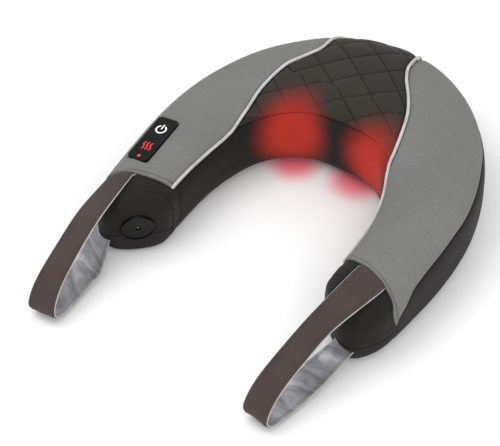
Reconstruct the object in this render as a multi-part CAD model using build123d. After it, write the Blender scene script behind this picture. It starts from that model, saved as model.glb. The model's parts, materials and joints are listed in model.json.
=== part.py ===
from build123d import *
import math
import os

import numpy as np

# Shiatsu neck massager: a padded U that lies round the neck, with a two-head kneading mechanism
# at its middle, a touch pad and a power socket on the arm at -X, and a hand strap on each arm.
# Millimetres. +Z up, the neck opening and the straps towards -Y. "left" means the arm at -X.
# The origin is on the floor, under the middle of the whole object.

# ---------------------------------------------------------------- driving dimensions: the padded U
STATIONS = np.array([0.0, 0.28, 0.55, 0.8, 1.0])   # places along one half of the U, 1 at the end
CENTRE_X = np.array([0.0, 105.0, 148.0, 149.0, 141.0])
CENTRE_Y = np.array([157.0, 108.0, 2.0, -88.0, -129.0])
BODY_Y = 31.0                # moves the U so that the origin is under the middle of the object
WIDTH_END = 78.0             # section width far along an arm
WIDTH_GAIN = 84.0            # what the section gains at the middle
WIDTH_SPREAD = 0.33
HEIGHT_END = 66.0
HEIGHT_GAIN = 36.0
HEIGHT_SPREAD = 0.45
ROUNDNESS = 3.4              # superellipse exponent of the section
FOOT_DROP = 4.0              # the section's lower half is cut flat by this much
END_DEPTH = 22.0             # how far the rounded end stands past the last station
HEM = 0.85                   # station of the grey panels' hem
COVER = 3.0                  # thickness of the padded fabric
CLEAR = 0.4                  # room between neighbouring soft pieces
FILLING_DEPTH = 5.0          # the filling lies this far under the surface
SEAM_GAP = 2.6               # half the gap that a piping cord fills
PIPING_R = 2.0

# Angles round the section: 0 outwards, 90 on top, 180 towards the neck, 270 underneath.
FOOT_OUT = -62.0
FOOT_IN = 242.0
BAND_TOP = 22.0              # top edge of the dark band round the outside
INNER_TOP = 133.0            # edge of the grey panels along the arms' inner side
ARC_SEAM = 138.0             # lower edge of the quilted panel
# the seam between a grey panel and the quilted panel: stations and the angles they reach
SEAM_T = np.array([0.06, 0.08, 0.10, 0.14, 0.21, 0.28, 0.345, 0.41])
SEAM_A = np.array([22.0, 52.0, 76.0, 88.0, 91.5, 101.0, 118.0, 133.0])

# ---------------------------------------------------------------- driving dimensions: mechanism
MECH_TILT = 45.0             # the heads face the neck and upwards
MECH_Y = 125.5 + BODY_Y      # centre of the front housing's face
MECH_Z = 59.5
HEAD_X = 50.0                # heads at plus and minus this
HOUSING_W = 190.0
HOUSING_LOW = -40.0
HOUSING_HIGH = 43.0
HOUSING_DEEP = 29.0
WALL = 2.0
RIM = 4.0                    # height of the front shell's skirt
SHELL_GAP = 0.1
HOUSING_CORNER = 16.0
WHEEL_TEETH = 40
WHEEL_R = 20.2               # mean radius of the wheel's teeth
TOOTH = 1.1
WHEEL_T = 6.0
GEAR_Z = -14.0               # middle of the wheels behind the housing's face
WORM_R = 4.5
THREAD = 1.2
WORM_PITCH = 2.0 * math.pi * WHEEL_R / WHEEL_TEETH
WORM_TURNS = 5.0
WORM_Y = 25.2                # worm shaft beside the wheels' axes
MOTOR_SHAFT_R = 1.5
MOTOR_R = 11.5
MOTOR_L = 44.0
SHAFT_R = 4.0
RUNNING = 0.05               # radial clearance of turning shafts
CARRIER_Z = 4.0              # back of the head carrier above the housing's face
CARRIER_T = 5.0
NODE_OFFSET = 20.0
NODE_R = 15.0
NODE_TOP = 25.0              # tip of a massage node above the housing's face
BOSS_XY = [(-84.0, 32.0), (-84.0, -30.5), (0.0, -30.5), (84.0, -30.5), (84.0, 32.0)]
BOSS_R = 4.0
SCREW_R = 1.5
SCREW_L = 16.0
SCREW_HEAD_R = 2.8
SCREW_HEAD_T = 2.0
BUSH_R = 7.0
BUSH_L = 6.0
CARRIER_R = 13.0
CARRIER_END_R = 11.0
SPIGOT_R = 4.0
LAMPS = 6                    # on each board
LAMP_RING = 13.0
LAMP_R = 2.2
LAMP_BOARD_R = 17.5
LAMP_BOARD_LOW = 0.1
LAMP_BOARD_HIGH = 1.3
LAMP_HIGH = 2.9
LEAD_R = 1.6                 # leads inside the object
LEAD_Y = 12.0                # the motor lead enters the rear shell here
LEAD_Z = -27.0

# ---------------------------------------------------------------- driving dimensions: pad, socket
PAD_T = -0.675               # station of the touch pad's middle
PAD_A = 76.0                 # its angle round the section
PAD_L = 72.0
PAD_W = 27.0
PAD_THICK = 4.0
PAD_PROUD = 1.2              # the frame stands out of the fabric by this much
KEYS = {"power_button": (17.0, 30.0), "heat_button": (-13.0, 26.0)}   # middle and length
KEY_W = 19.0
KEY_GAP = 0.3
KEY_LOW = -2.2
KEY_TOP = 1.0
LENS_X = -30.5
LENS_R = 2.0
BOARD_TOP = -6.4
BOARD_T = 1.6
SOCKET_R = 19.5              # bezel
SOCKET_HOLE_R = 3.2
SOCKET_PIN_R = 1.05
SOCKET_BODY_R = 7.0
SOCKET_BODY_L = 16.0
SOCKET_RISE = 3.0            # the socket sits this far above the section's middle
SOCKET_DIP = 7.0             # the bezel looks down by this angle

# ---------------------------------------------------------------- driving dimensions: straps
STRAP_W = 33.0
WEBBING = 2.0
LINING = 1.0
LOOP_L = 186.0               # hem to the loop's far end
TAB_LOW = 0.862              # stations between which the strap lies sewn on the arm's end
TAB_HIGH = 0.985
LOOP_START = 60.0            # the loop swings from this distance past the hem
# (distance from the hem, height) of the strap's middle line, out along the top and back below
LOOP_LINE = [(LOOP_START, 74.0), (105.0, 63.0), (150.0, 47.0), (178.0, 30.0), (LOOP_L, 15.5),
             (176.0, 7.5), (140.0, 6.5), (100.0, 9.5), (LOOP_START + 2.0, 22.0)]
STRAP_ROLL = 8.0             # the loops lean over by this angle
STRAPS = {
    "left": {"side": -1, "x": -166.0, "y": -104.0 + BODY_Y, "turn": 0.0, "low": 47.0, "high": 84.0},
    "right": {"side": 1, "x": 154.0, "y": -110.0 + BODY_Y, "turn": -12.0, "low": 68.0, "high": 102.0},
}

PARTS = "parts"
os.makedirs(PARTS, exist_ok=True)


def save(name, *solids):
    """Write one named sub-part, which may hold several separate solids."""
    shape = solids[0] if len(solids) == 1 else Compound(children=list(solids))
    export_step(shape, f"{PARTS}/{name}.step")


# ================================================================ the padded U
def even_curve(values):
    """Even polynomial through one half's stations."""
    return np.polynomial.Polynomial.fit(STATIONS**2, values, len(values) - 1)


def odd_curve(values):
    """Odd polynomial through one half's stations, divided by the station."""
    return np.polynomial.Polynomial.fit(STATIONS[1:]**2, values[1:] / STATIONS[1:], len(values) - 2)


X_CURVE = odd_curve(CENTRE_X)
Y_CURVE = even_curve(CENTRE_Y)


def centre(t):
    """Middle of the U at a station, in plan."""
    return np.array([t * X_CURVE(t * t), Y_CURVE(t * t) + BODY_Y])


def heading(t):
    """Unit direction of growing stations."""
    step = 1e-4
    along = centre(t + step) - centre(t - step)
    return along / np.hypot(*along)


def half_width(t):
    return (WIDTH_END + WIDTH_GAIN / (1.0 + (t / WIDTH_SPREAD)**2)) / 2.0


def half_height(t):
    return (HEIGHT_END + HEIGHT_GAIN / (1.0 + (t / HEIGHT_SPREAD)**2)) / 2.0


def power(value, exponent):
    return math.copysign(abs(value)**exponent, value)


def skin(t, angle, depth=0.0, shrink=1.0, past=0.0):
    """Point of the U's surface, or depth below it; shrink and past round off the ends."""
    out = power(math.cos(math.radians(angle)), 2.0 / ROUNDNESS)
    up = power(math.sin(math.radians(angle)), 2.0 / ROUNDNESS)
    tall = half_height(t)
    rise = (tall * (0.35 + 0.65 * shrink) - depth) * up
    if up < 0.0:
        rise = max(-(tall - depth), rise * (tall + FOOT_DROP) / tall)
    side = (half_width(t) * shrink - depth) * out
    ahead = heading(t)
    place = centre(t) + ahead * past + np.array([-ahead[1], ahead[0]]) * side
    return Vector(place[0], place[1], tall + rise)


def strip_wire(t, low, high, shallow, deep, steps):
    """Closed outline of a cover strip across one station, between two angles and two depths."""
    angles = np.linspace(low, high, steps)
    outer = [skin(t, a, shallow) for a in angles]
    inner = [skin(t, a, deep) for a in angles[::-1]]
    return Wire.make_polygon(outer + inner, close=True)


def strip(stations, low, high, shallow=0.0, deep=COVER, steps=7):
    """Cover piece carried along the stations; low and high are functions of the station."""
    wires = [strip_wire(t, low(t), high(t), shallow, deep, steps) for t in stations]
    return Solid.make_loft(wires, ruled=True)


def seam_angle(t):
    """Angle of the piping seam at a station."""
    return float(np.interp(abs(t), SEAM_T, SEAM_A))


def seam_gap(t):
    """Half the seam's gap, as an angle at that station."""
    step = 0.005
    slope = (seam_angle(abs(t) + step) - seam_angle(abs(t) - step)) / (2.0 * step)
    across = (skin(t, seam_angle(t) + 1.0) - skin(t, seam_angle(t) - 1.0)).length / 2.0
    along = (skin(t + step, seam_angle(t)) - skin(t - step, seam_angle(t))).length / (2.0 * step)
    return SEAM_GAP * math.hypot(1.0, slope * across / along) / across


def grid(low, high, count):
    return [float(v) for v in np.linspace(low, high, count)]


ARM = grid(SEAM_T[-1], HEM, 9)
SHOULDER = [float(v) for v in SEAM_T[2:-1]]
MIDDLE = [-t for t in SHOULDER[::-1]] + [-0.068, -0.03, 0.0, 0.03, 0.068] + SHOULDER
WHOLE = [-t for t in ARM[::-1]] + MIDDLE + ARM


def grey_panel(side):
    """Neoprene panel over an arm, from the piping seam to the band's top edge."""
    stations = [side * t for t in SHOULDER + ARM]
    return strip(stations, lambda t: BAND_TOP + 1.0, lambda t: seam_angle(t) - seam_gap(t))


def quilted_panel():
    """Quilted panel over the middle, between the two piping seams, down to the arc seam."""
    def low(t):
        return BAND_TOP + 1.0 if abs(t) <= SEAM_T[0] else seam_angle(t) + seam_gap(t)
    return strip(MIDDLE, low, lambda t: ARC_SEAM - 0.5, steps=9)


def inner_wall():
    """Smooth black fabric along the neck side, from arm end to arm end."""
    def low(t):
        gap = seam_gap(SEAM_T[-1]) if abs(t) > SEAM_T[-1] - 0.01 else 0.0
        return max(ARC_SEAM + 0.5 if abs(t) < SEAM_T[-1] - 0.01 else INNER_TOP + gap, 0.0)
    return strip(WHOLE, low, lambda t: FOOT_IN)


def boxing_band():
    """Dark band round the outside, between the floor and the grey panels."""
    return strip(WHOLE, lambda t: FOOT_OUT, lambda t: BAND_TOP - 0.5)


def base_cover():
    """Flat underside, which the object rests on."""
    def edge(t, angle):
        point = skin(t, angle, COVER + CLEAR)
        return Vector(point.X, point.Y, 0.0)
    outer = [edge(t, FOOT_OUT) for t in WHOLE]
    inner = [edge(t, FOOT_IN) for t in WHOLE[::-1]]
    return extrude(make_face(Polyline(*outer, *inner, close=True)), COVER, dir=(0, 0, 1))


def piping(side):
    """Piping cord in the seam between a grey panel and the dark panels."""
    route = [(t, seam_angle(t)) for t in list(SEAM_T[1:]) + ARM[1:]]
    points = [skin(side * t, a, PIPING_R * 0.4) for t, a in route]
    path = Spline(*points)
    return sweep(Plane(origin=path @ 0, z_dir=path % 0) * Circle(PIPING_R), path=path)


def end_rings(side, depth, first):
    """Section rings from the hem round the arm's end."""
    rings = [(t, 1.0, 0.0) for t in grid(first, 1.0, 4)]
    for turn in (25.0, 45.0, 62.0, 76.0):
        share = math.sin(math.radians(turn))
        rings.append((1.0, math.cos(math.radians(turn))**0.6, END_DEPTH * share))
    wires = []
    for t, shrink, past in rings:
        ahead = max(past - depth * share, 0.0) if past else 0.0
        points = [skin(side * t, a, depth, shrink, side * ahead) for a in grid(-85.0, 260.0, 24)]
        wires.append(Wire.make_polygon(points, close=True))
    return wires


def arm_end(side, depth=0.0, first=HEM + 0.008):
    return Solid.make_loft(end_rings(side, depth, first), ruled=True)


def end_cover(side):
    """Black fabric pouch over an arm's end."""
    core = arm_end(side, COVER, HEM - 0.02)
    return (arm_end(side) - core).solids()[0]


def stuffing(stations):
    """Whole section inside the cover, carried along the stations."""
    wires = []
    for t in stations:
        points = [skin(t, a, FILLING_DEPTH) for a in grid(-85.0, 260.0, 24)]
        wires.append(Wire.make_polygon(points, close=True))
    return Solid.make_loft(wires, ruled=True)


def filling(side):
    """Fibre filling of one arm, from beside the mechanism to the arm's end."""
    return stuffing([side * t for t in ARM[1:]])


def end_filling(side):
    """Filling inside the end pouch."""
    return arm_end(side, FILLING_DEPTH + 2.4, HEM + 0.012)


# ================================================================ mechanism
MECH = Location((0.0, MECH_Y, MECH_Z), (MECH_TILT, 0.0, 0.0))
FLAT = Location()
BACK = -RIM - HOUSING_DEEP         # the rear shell's back, behind the housing's face


def at(x, y, z, turn=(0.0, 0.0, 0.0)):
    """Place in the mechanism's own frame: x across, y up the face, z out of the face."""
    return MECH * Location((x, y, z), turn)


def tube(place, outer, inner, low, high):
    """Round tube, or rod when inner is zero, between two heights of its place."""
    body = Pos(0, 0, low) * Cylinder(outer, high - low, align=(Align.CENTER, Align.CENTER, Align.MIN))
    if inner:
        body -= Pos(0, 0, low - 1) * Cylinder(
            inner, high - low + 2, align=(Align.CENTER, Align.CENTER, Align.MIN))
    return place * body


def slab(place, wide, low, high, bottom, top, corner):
    """Rounded plate: wide in x, from low to high in y, from bottom to top in z."""
    outline = Pos(0, (low + high) / 2, bottom) * RectangleRounded(wide, high - low, corner)
    return place * extrude(outline, top - bottom, dir=(0, 0, 1))



def front_housing():
    """Front shell: face plate with a skirt, two head openings and the screws' bosses."""
    body = slab(FLAT, HOUSING_W, HOUSING_LOW, HOUSING_HIGH, -RIM, 0.0, HOUSING_CORNER)
    body -= slab(FLAT, HOUSING_W - 2 * WALL, HOUSING_LOW + WALL, HOUSING_HIGH - WALL, -RIM - 1, -WALL,
                 HOUSING_CORNER - WALL)
    for x, y in BOSS_XY:
        body += tube(Pos(x, y, 0), BOSS_R, 0, -RIM, -WALL / 2)
    for x, y in BOSS_XY:
        body -= tube(Pos(x, y, 0), SCREW_R + 0.2, 0, -RIM - 2, 2)
    for x in (-HEAD_X, HEAD_X):
        body -= tube(Pos(x, 0, 0), BUSH_R, 0, -RIM - 2, 2)
    return MECH * body.solids()[0]


def rear_housing():
    """Rear shell: tray with bosses for the screws, seats for the bushes and a hole for the lead."""
    rim = -RIM - SHELL_GAP
    floor = BACK + WALL
    inner = HOUSING_CORNER - WALL
    body = slab(FLAT, HOUSING_W, HOUSING_LOW, HOUSING_HIGH, BACK, rim, HOUSING_CORNER)
    body -= slab(FLAT, HOUSING_W - 2 * WALL, HOUSING_LOW + WALL, HOUSING_HIGH - WALL, floor, rim + 1, inner)
    for x, y in BOSS_XY:
        body += tube(Pos(x, y, 0), BOSS_R, 0, BACK + WALL / 2, rim)
    for x in (-HEAD_X, HEAD_X):
        body += tube(Pos(x, 0, 0), BUSH_R + WALL, 0, BACK + WALL / 2, floor + BUSH_L)
    for x, y in BOSS_XY:
        body -= tube(Pos(x, y, 0), SCREW_R, 0, -SCREW_L - 2, rim + 1)
    for x in (-HEAD_X, HEAD_X):
        body -= tube(Pos(x, 0, 0), BUSH_R, 0, floor, floor + BUSH_L + 1)
    entry = Pos(-HOUSING_W / 2, LEAD_Y, LEAD_Z) * Rot(0, 90, 0)
    body -= tube(entry, LEAD_R + 0.5, 0, -5, 7)
    return MECH * body.solids()[0]


def housing_screws():
    """Pan-head screws through the front shell into the rear bosses."""
    screws = []
    for x, y in BOSS_XY:
        head = tube(at(x, y, 0), SCREW_HEAD_R, 0, 0.0, SCREW_HEAD_T)
        shank = tube(at(x, y, 0), SCREW_R, 0, -SCREW_L, 0.0)
        slot = at(x, y, 1.5) * Box(3.4, 0.6, 1.2)
        screws.append((head + shank - slot).solids()[0])
    return screws


def head_bushes():
    """Plain bushes for each output shaft, one in each shell."""
    floor = BACK + WALL
    bushes = []
    for x in (-HEAD_X, HEAD_X):
        bushes.append(tube(at(x, 0, 0), BUSH_R, SHAFT_R + RUNNING, -RIM, 1.0))
        bushes.append(tube(at(x, 0, 0), BUSH_R, SHAFT_R + RUNNING, floor, floor + BUSH_L))
    return bushes


def tooth_outline(crest, root):
    """Closed outline of a wheel with flat-topped teeth, a gap facing +Y."""
    points = []
    pitch = 2.0 * math.pi / WHEEL_TEETH
    for tooth in range(WHEEL_TEETH):
        start = math.pi / 2 + tooth * pitch
        for share, radius in ((-0.16, root), (0.16, root), (0.40, crest), (0.60, crest)):
            turn = start + share * pitch
            points.append((radius * math.cos(turn), radius * math.sin(turn)))
    return make_face(Polyline(*points, close=True))


def worm_wheel(x):
    """Toothed wheel, its teeth turned to follow the worm's thread."""
    low = GEAR_Z - WHEEL_T / 2
    face = tooth_outline(WHEEL_R + TOOTH, WHEEL_R - TOOTH)
    body = at(x, 0, low) * extrude(face, WHEEL_T, dir=(0, 0, 1))
    body -= tube(at(x, 0, 0), SHAFT_R, 0, low - 1, low + WHEEL_T + 1)
    return body.solids()[0]


def output_shaft(x):
    """Steel shaft that carries the wheel behind the face and the head in front of it."""
    return tube(at(x, 0, 0), SHAFT_R, 0, BACK + WALL + 0.5, CARRIER_Z + CARRIER_T)


def carrier(x):
    """Arm that holds the two massage nodes of one head."""
    disc = tube(at(x, 0, 0), CARRIER_R, 0, CARRIER_Z, CARRIER_Z + CARRIER_T)
    for side in (-1, 1):
        disc += tube(at(x, side * NODE_OFFSET, 0), CARRIER_END_R, 0, CARRIER_Z, CARRIER_Z + CARRIER_T)
        disc -= tube(at(x, side * NODE_OFFSET, 0), SPIGOT_R, 0, CARRIER_Z - 1, CARRIER_Z + CARRIER_T + 1)
    disc -= tube(at(x, 0, 0), SHAFT_R, 0, CARRIER_Z - 1, CARRIER_Z + CARRIER_T + 1)
    return disc.solids()[0]


def massage_nodes(x):
    """Two domed nodes with a spigot each, snapped into the carrier."""
    nodes = []
    for side in (-1, 1):
        place = at(x, side * NODE_OFFSET, 0)
        foot = CARRIER_Z + CARRIER_T
        dome = place * Pos(0, 0, NODE_TOP - NODE_R) * Sphere(NODE_R)
        keep = tube(place, NODE_R + 1, 0, foot, NODE_TOP + 1)
        spigot = tube(place, SPIGOT_R, 0, CARRIER_Z, foot)
        nodes.append(((dome & keep) + spigot).solids()[0])
    return nodes


def carrier_screw(x):
    """Screw with a washer head that holds a carrier on its shaft."""
    top = CARRIER_Z + CARRIER_T
    head = tube(at(x, 0, 0), 4.6, 0, top, top + 2.4)
    return (head - at(x, 0, top + 2.0) * Box(5.5, 0.9, 1.4)).solids()[0]


def lamp_board(x):
    """Ring-shaped board on the face round one shaft; it carries the red warming lamps."""
    return tube(at(x, 0, 0), LAMP_BOARD_R, BUSH_R + 1.5, LAMP_BOARD_LOW, LAMP_BOARD_HIGH)


def red_lamps():
    """Small domed lamps, six on each board."""
    lamps = []
    for x in (-HEAD_X, HEAD_X):
        for index in range(LAMPS):
            turn = 2.0 * math.pi * index / LAMPS
            place = at(x + LAMP_RING * math.cos(turn), LAMP_RING * math.sin(turn), 0)
            lamps.append(tube(place, LAMP_R, 0, LAMP_BOARD_HIGH, LAMP_HIGH))
    return lamps


def motor_can():
    """Round motor body between the two worms."""
    place = at(-MOTOR_L / 2, WORM_Y, GEAR_Z, (0, 90, 0))
    return tube(place, MOTOR_R, MOTOR_SHAFT_R + RUNNING, 0, MOTOR_L)


def motor_clamp():
    """Saddle that holds the motor down to the rear shell's floor."""
    floor = BACK + WALL
    block = slab(MECH, 12.0, WORM_Y - 15.0, WORM_Y + 15.0, floor, GEAR_Z, 1.0)
    return (block - tube(at(-20, WORM_Y, GEAR_Z, (0, 90, 0)), MOTOR_R, 0, 0, 40)).solids()[0]


def motor_shaft():
    """Shaft through the motor, with a worm on each end."""
    reach = HEAD_X + 24.0
    return tube(at(-reach, WORM_Y, GEAR_Z, (0, 90, 0)), MOTOR_SHAFT_R, 0, 0, 2 * reach)


def worm(x, hand):
    """Single-start worm: an off-centre circle twisted along the shaft."""
    length = WORM_PITCH * WORM_TURNS
    profile = Pos(THREAD, 0, 0) * Circle(WORM_R)
    twisted = Solid.extrude_linear_with_rotation(
        profile.face(), center=(0, 0, 0), normal=(0, 0, length), angle=hand * 360.0 * WORM_TURNS)
    place = at(x - length / 2, WORM_Y, GEAR_Z, (0, 90, 0)) * Rot(0, 0, 90)
    return place * twisted - place * Pos(0, 0, -1) * Cylinder(
        MOTOR_SHAFT_R, length + 2, align=(Align.CENTER, Align.CENTER, Align.MIN))


def shaft_bushes():
    """Blocks that hold the motor shaft's two ends in the rear shell."""
    floor = BACK + WALL
    blocks = []
    for side in (-1, 1):
        x = side * (HEAD_X + 19.0)
        block = at(x, 0, 0) * slab(Location(), 6.0, WORM_Y - 5.0, WORM_Y + 5.0, floor, GEAR_Z + 4.5, 0.5)
        hole = tube(at(x - 5, WORM_Y, GEAR_Z, (0, 90, 0)), MOTOR_SHAFT_R + RUNNING, 0, 0, 10)
        blocks.append((block - hole).solids()[0])
    return blocks


# ================================================================ foam round the mechanism
def half_space(place, low, high):
    """Large block between two heights of a place's own z axis."""
    return place * Pos(0, 0, (low + high) / 2) * Box(600, 600, high - low)


def rear_foam():
    """Foam wedge behind and under the mechanism."""
    return (stuffing(MIDDLE) - half_space(MECH, BACK - 1.0, 300.0)).solids()[0]


def front_foam():
    """Foam wedge between the mechanism's lower edge and the neck side's foot."""
    below = HOUSING_LOW - 1.0
    side_on = at(0, 0, 0, (-90, 0, 0))
    body = stuffing(MIDDLE) & half_space(MECH, BACK - 0.6, 300.0)
    return body & half_space(side_on, below - 400.0, below)


# ================================================================ touch pad
def pad_place():
    """Place of the touch pad: x along the arm, z out of the fabric."""
    middle = skin(PAD_T, PAD_A)
    along = skin(PAD_T + 0.01, PAD_A) - skin(PAD_T - 0.01, PAD_A)
    across = skin(PAD_T, PAD_A + 2.0) - skin(PAD_T, PAD_A - 2.0)
    return Plane(origin=middle, x_dir=along, z_dir=along.cross(across) * -1).location


PAD = pad_place()


def plate(place, x, length, width, corner, low, high):
    """Rounded plate between two heights of a place."""
    outline = Pos(x, 0, low) * RectangleRounded(length, width, corner)
    return place * extrude(outline, high - low, dir=(0, 0, 1))


def control_bezel():
    """Frame of the touch pad, with two key openings, a lens hole and two posts."""
    body = plate(PAD, 0, PAD_L, PAD_W, 5.0, PAD_PROUD - PAD_THICK, PAD_PROUD)
    for x, length in KEYS.values():
        body -= plate(PAD, x, length, KEY_W, 3.5, -5.0, 3.0)
    body -= PAD * Pos(LENS_X, 0, -5) * Cylinder(LENS_R, 20)
    for y in (-11.0, 11.0):
        body += PAD * Pos(LENS_X, y, (BOARD_TOP + PAD_PROUD - PAD_THICK) / 2) * Cylinder(
            1.5, PAD_PROUD - PAD_THICK - BOARD_TOP)
    return body.solids()[0]


def key(name):
    """Key cap that clicks down onto its switch."""
    x, length = KEYS[name]
    return plate(PAD, x, length - 2 * KEY_GAP, KEY_W - 2 * KEY_GAP, 3.3, KEY_LOW, KEY_TOP)


def indicator_lens():
    """Red lens of the heat lamp's indicator."""
    return PAD * Pos(LENS_X, 0, -0.5) * Cylinder(LENS_R - 0.1, 3.4)


def control_board():
    """Circuit board under the touch pad."""
    return plate(PAD, 0, PAD_L - 4.0, PAD_W - 3.0, 2.0, BOARD_TOP - BOARD_T, BOARD_TOP)


def click_switches():
    """Small square click switches, one under each key."""
    switches = []
    for x, _ in KEYS.values():
        base = PAD * Pos(x, 0, BOARD_TOP + 1.1) * Box(6.0, 6.0, 2.2)
        stem = PAD * Pos(x, 0, BOARD_TOP + 2.7) * Cylinder(1.7, 1.0)
        switches.append((base + stem).solids()[0])
    return switches


# ================================================================ power socket
def socket_place():
    """Place of the power socket on the left arm's end: z out of the end."""
    ahead = heading(-1.0) * -1.0
    tip = centre(-1.0) + ahead * (END_DEPTH * 0.97)
    dip = math.radians(SOCKET_DIP)
    out = Vector(ahead[0] * math.cos(dip), ahead[1] * math.cos(dip), -math.sin(dip))
    middle = (tip[0], tip[1], half_height(1.0) + SOCKET_RISE)
    return Plane(origin=middle, z_dir=out, x_dir=(ahead[1], -ahead[0], 0)).location


SOCKET = socket_place()


def socket_bezel():
    """Round bezel with a raised rim."""
    body = tube(SOCKET, SOCKET_R, SOCKET_BODY_R, -2.5, 1.0)
    return (body + tube(SOCKET, SOCKET_R, SOCKET_R - 1.6, 1.0, 2.0)).solids()[0]


def socket_body():
    """Barrel jack's moulded body, blind behind."""
    body = tube(SOCKET, SOCKET_BODY_R, 0, -SOCKET_BODY_L, 1.0)
    return body - tube(SOCKET, SOCKET_HOLE_R, 0, -11.0, 2.0)


def socket_pin():
    """Centre pin of the jack."""
    return tube(SOCKET, SOCKET_PIN_R, 0, -11.0, 0.0)


def socket_nut():
    """Hexagonal nut that clamps the jack behind the bezel."""
    nut = SOCKET * Pos(0, 0, -6.0) * extrude(RegularPolygon(11.0, 6), 3.4, dir=(0, 0, 1))
    return (nut - tube(SOCKET, SOCKET_BODY_R, 0, -7.0, 0.0)).solids()[0]


# ================================================================ inner leads
def lead(points, radii, radius=LEAD_R):
    """Round lead along straight runs joined by tangent arcs."""
    path = FilletPolyline(*points, radius=radii)
    return sweep(Plane(origin=path @ 0, z_dir=path % 0) * Circle(radius), path=path)


def spot(place, x, y, z):
    return (place * Pos(x, y, z)).position


SOCKET_LEAD = [spot(SOCKET, 0, 0, -SOCKET_BODY_L), spot(SOCKET, 0, 0, -SOCKET_BODY_L - 22.0),
               spot(PAD, -16.0, 0, -34.0), spot(PAD, -16.0, 0, BOARD_TOP - BOARD_T)]
SOCKET_BENDS = [12.0, 12.0]
MOTOR_LEAD = [spot(PAD, 16.0, 0, BOARD_TOP - BOARD_T), spot(PAD, 16.0, 0, -36.0),
              Vector(centre(-0.45)[0], centre(-0.45)[1], 38.0), spot(MECH, -112.0, LEAD_Y, LEAD_Z),
              spot(MECH, -20.0, LEAD_Y, LEAD_Z)]
MOTOR_BENDS = [12.0, 26.0, 16.0]


# ================================================================ hand straps
def strap_place(strap):
    """Place of a strap at the hem: x outwards along the strap, z across its width."""
    turn = math.radians(strap["turn"])
    away = Vector(math.sin(turn), -math.cos(turn), 0)
    plane = Plane(origin=(strap["x"], strap["y"], 0), x_dir=away, z_dir=Vector(0, 0, 1).cross(away) * -1)
    lean = Location((0, LOOP_LINE[0][1], 0)) * Location((0, 0, 0), (STRAP_ROLL, 0, 0)) * Location(
        (0, -LOOP_LINE[0][1], 0))
    return plane.location * lean


def ribbon(strap, near, far):
    """Flat band along the loop's line, between two distances outside that line."""
    line = Spline(*LOOP_LINE)
    inner = []
    outer = []
    for share in grid(0.0, 1.0, 49):
        point = line @ share
        tangent = line % share
        normal = Vector(-tangent.Y, tangent.X)
        inner.append(point + normal * near)
        outer.append(point + normal * far)
    outline = make_face(Polyline(*inner, *outer[::-1], close=True))
    band = extrude(outline, STRAP_W / 2, both=True)
    return strap_place(strap) * band


def strap_tab(strap):
    """End of the webbing, sewn down over the arm's end."""
    stations = [strap["side"] * t for t in grid(TAB_LOW, TAB_HIGH, 5)]
    return strip(stations, lambda t: strap["low"], lambda t: strap["high"],
                 -CLEAR - WEBBING - LINING, -CLEAR, 5)


# ================================================================ write every sub-part
SOCKET_ROOM = tube(SOCKET, SOCKET_R + 0.3, 0, -8.0, 12.0) + tube(SOCKET, 12.5, 0, -18.0, -6.0)
PAD_ROOM = plate(PAD, 0, PAD_L + 0.8, PAD_W + 0.8, 5.4, -9.0, 12.0)
SOCKET_CHANNEL = lead(SOCKET_LEAD, SOCKET_BENDS, LEAD_R + 0.5)
MOTOR_CHANNEL = lead(MOTOR_LEAD, MOTOR_BENDS, LEAD_R + 0.5)

left_panel = grey_panel(-1) - PAD_ROOM
save("left_grey_panel", left_panel.solids()[0])
save("right_grey_panel", grey_panel(1))
left_cover = end_cover(-1) - SOCKET_ROOM
save("left_end_cover", left_cover.solids()[0])
save("right_end_cover", end_cover(1))
left_arm = filling(-1) - PAD_ROOM - SOCKET_CHANNEL - MOTOR_CHANNEL
left_end = end_filling(-1) - SOCKET_ROOM - SOCKET_CHANNEL
save("left_arm_filling", left_arm.solids()[0], left_end.solids()[0])
save("right_arm_filling", filling(1), end_filling(1))
for side, name in ((-1, "left"), (1, "right")):
    save(f"{name}_piping", piping(side))
save("quilted_centre_panel", quilted_panel())
save("inner_wall_cover", inner_wall())
save("boxing_band", boxing_band())
save("base_cover", base_cover())
save("rear_foam_pad", (rear_foam() - MOTOR_CHANNEL).solids()[0])
save("front_foam_pad", (front_foam() - MOTOR_CHANNEL).solids()[0])

save("front_housing", front_housing())
save("rear_housing", rear_housing())
save("housing_screws", *housing_screws())
save("head_bushes", *head_bushes())
save("motor_can", motor_can())
save("motor_clamp", motor_clamp())
save("motor_shaft", motor_shaft())
save("shaft_bushes", *shaft_bushes())
for x, name in ((-HEAD_X, "left"), (HEAD_X, "right")):
    save(f"{name}_worm", worm(x, math.copysign(1, x)))
    save(f"{name}_worm_wheel", worm_wheel(x))
    save(f"{name}_output_shaft", output_shaft(x))
    save(f"{name}_carrier", carrier(x))
    save(f"{name}_massage_nodes", *massage_nodes(x))
    save(f"{name}_carrier_screw", carrier_screw(x))
    save(f"{name}_lamp_board", lamp_board(x))
save("red_lamps", *red_lamps())

save("control_bezel", control_bezel())
save("power_button", key("power_button"))
save("heat_button", key("heat_button"))
save("indicator_lens", indicator_lens())
save("control_board", control_board())
save("click_switches", *click_switches())
save("socket_bezel", socket_bezel())
save("socket_body", socket_body())
save("socket_pin", socket_pin())
save("socket_nut", socket_nut())
save("socket_lead", lead(SOCKET_LEAD, SOCKET_BENDS))
save("motor_lead", lead(MOTOR_LEAD, MOTOR_BENDS))
for name, strap in STRAPS.items():
    save(f"{name}_strap_tab", strap_tab(strap))
    save(f"{name}_strap_loop", ribbon(strap, 0.0, WEBBING))
    save(f"{name}_strap_lining", ribbon(strap, -LINING - 0.1, -0.1))
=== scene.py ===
import json
import math

import bmesh
import bpy
import numpy as np
from bpy.props import FloatProperty, FloatVectorProperty, PointerProperty
from mathutils import Matrix, Vector


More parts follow.
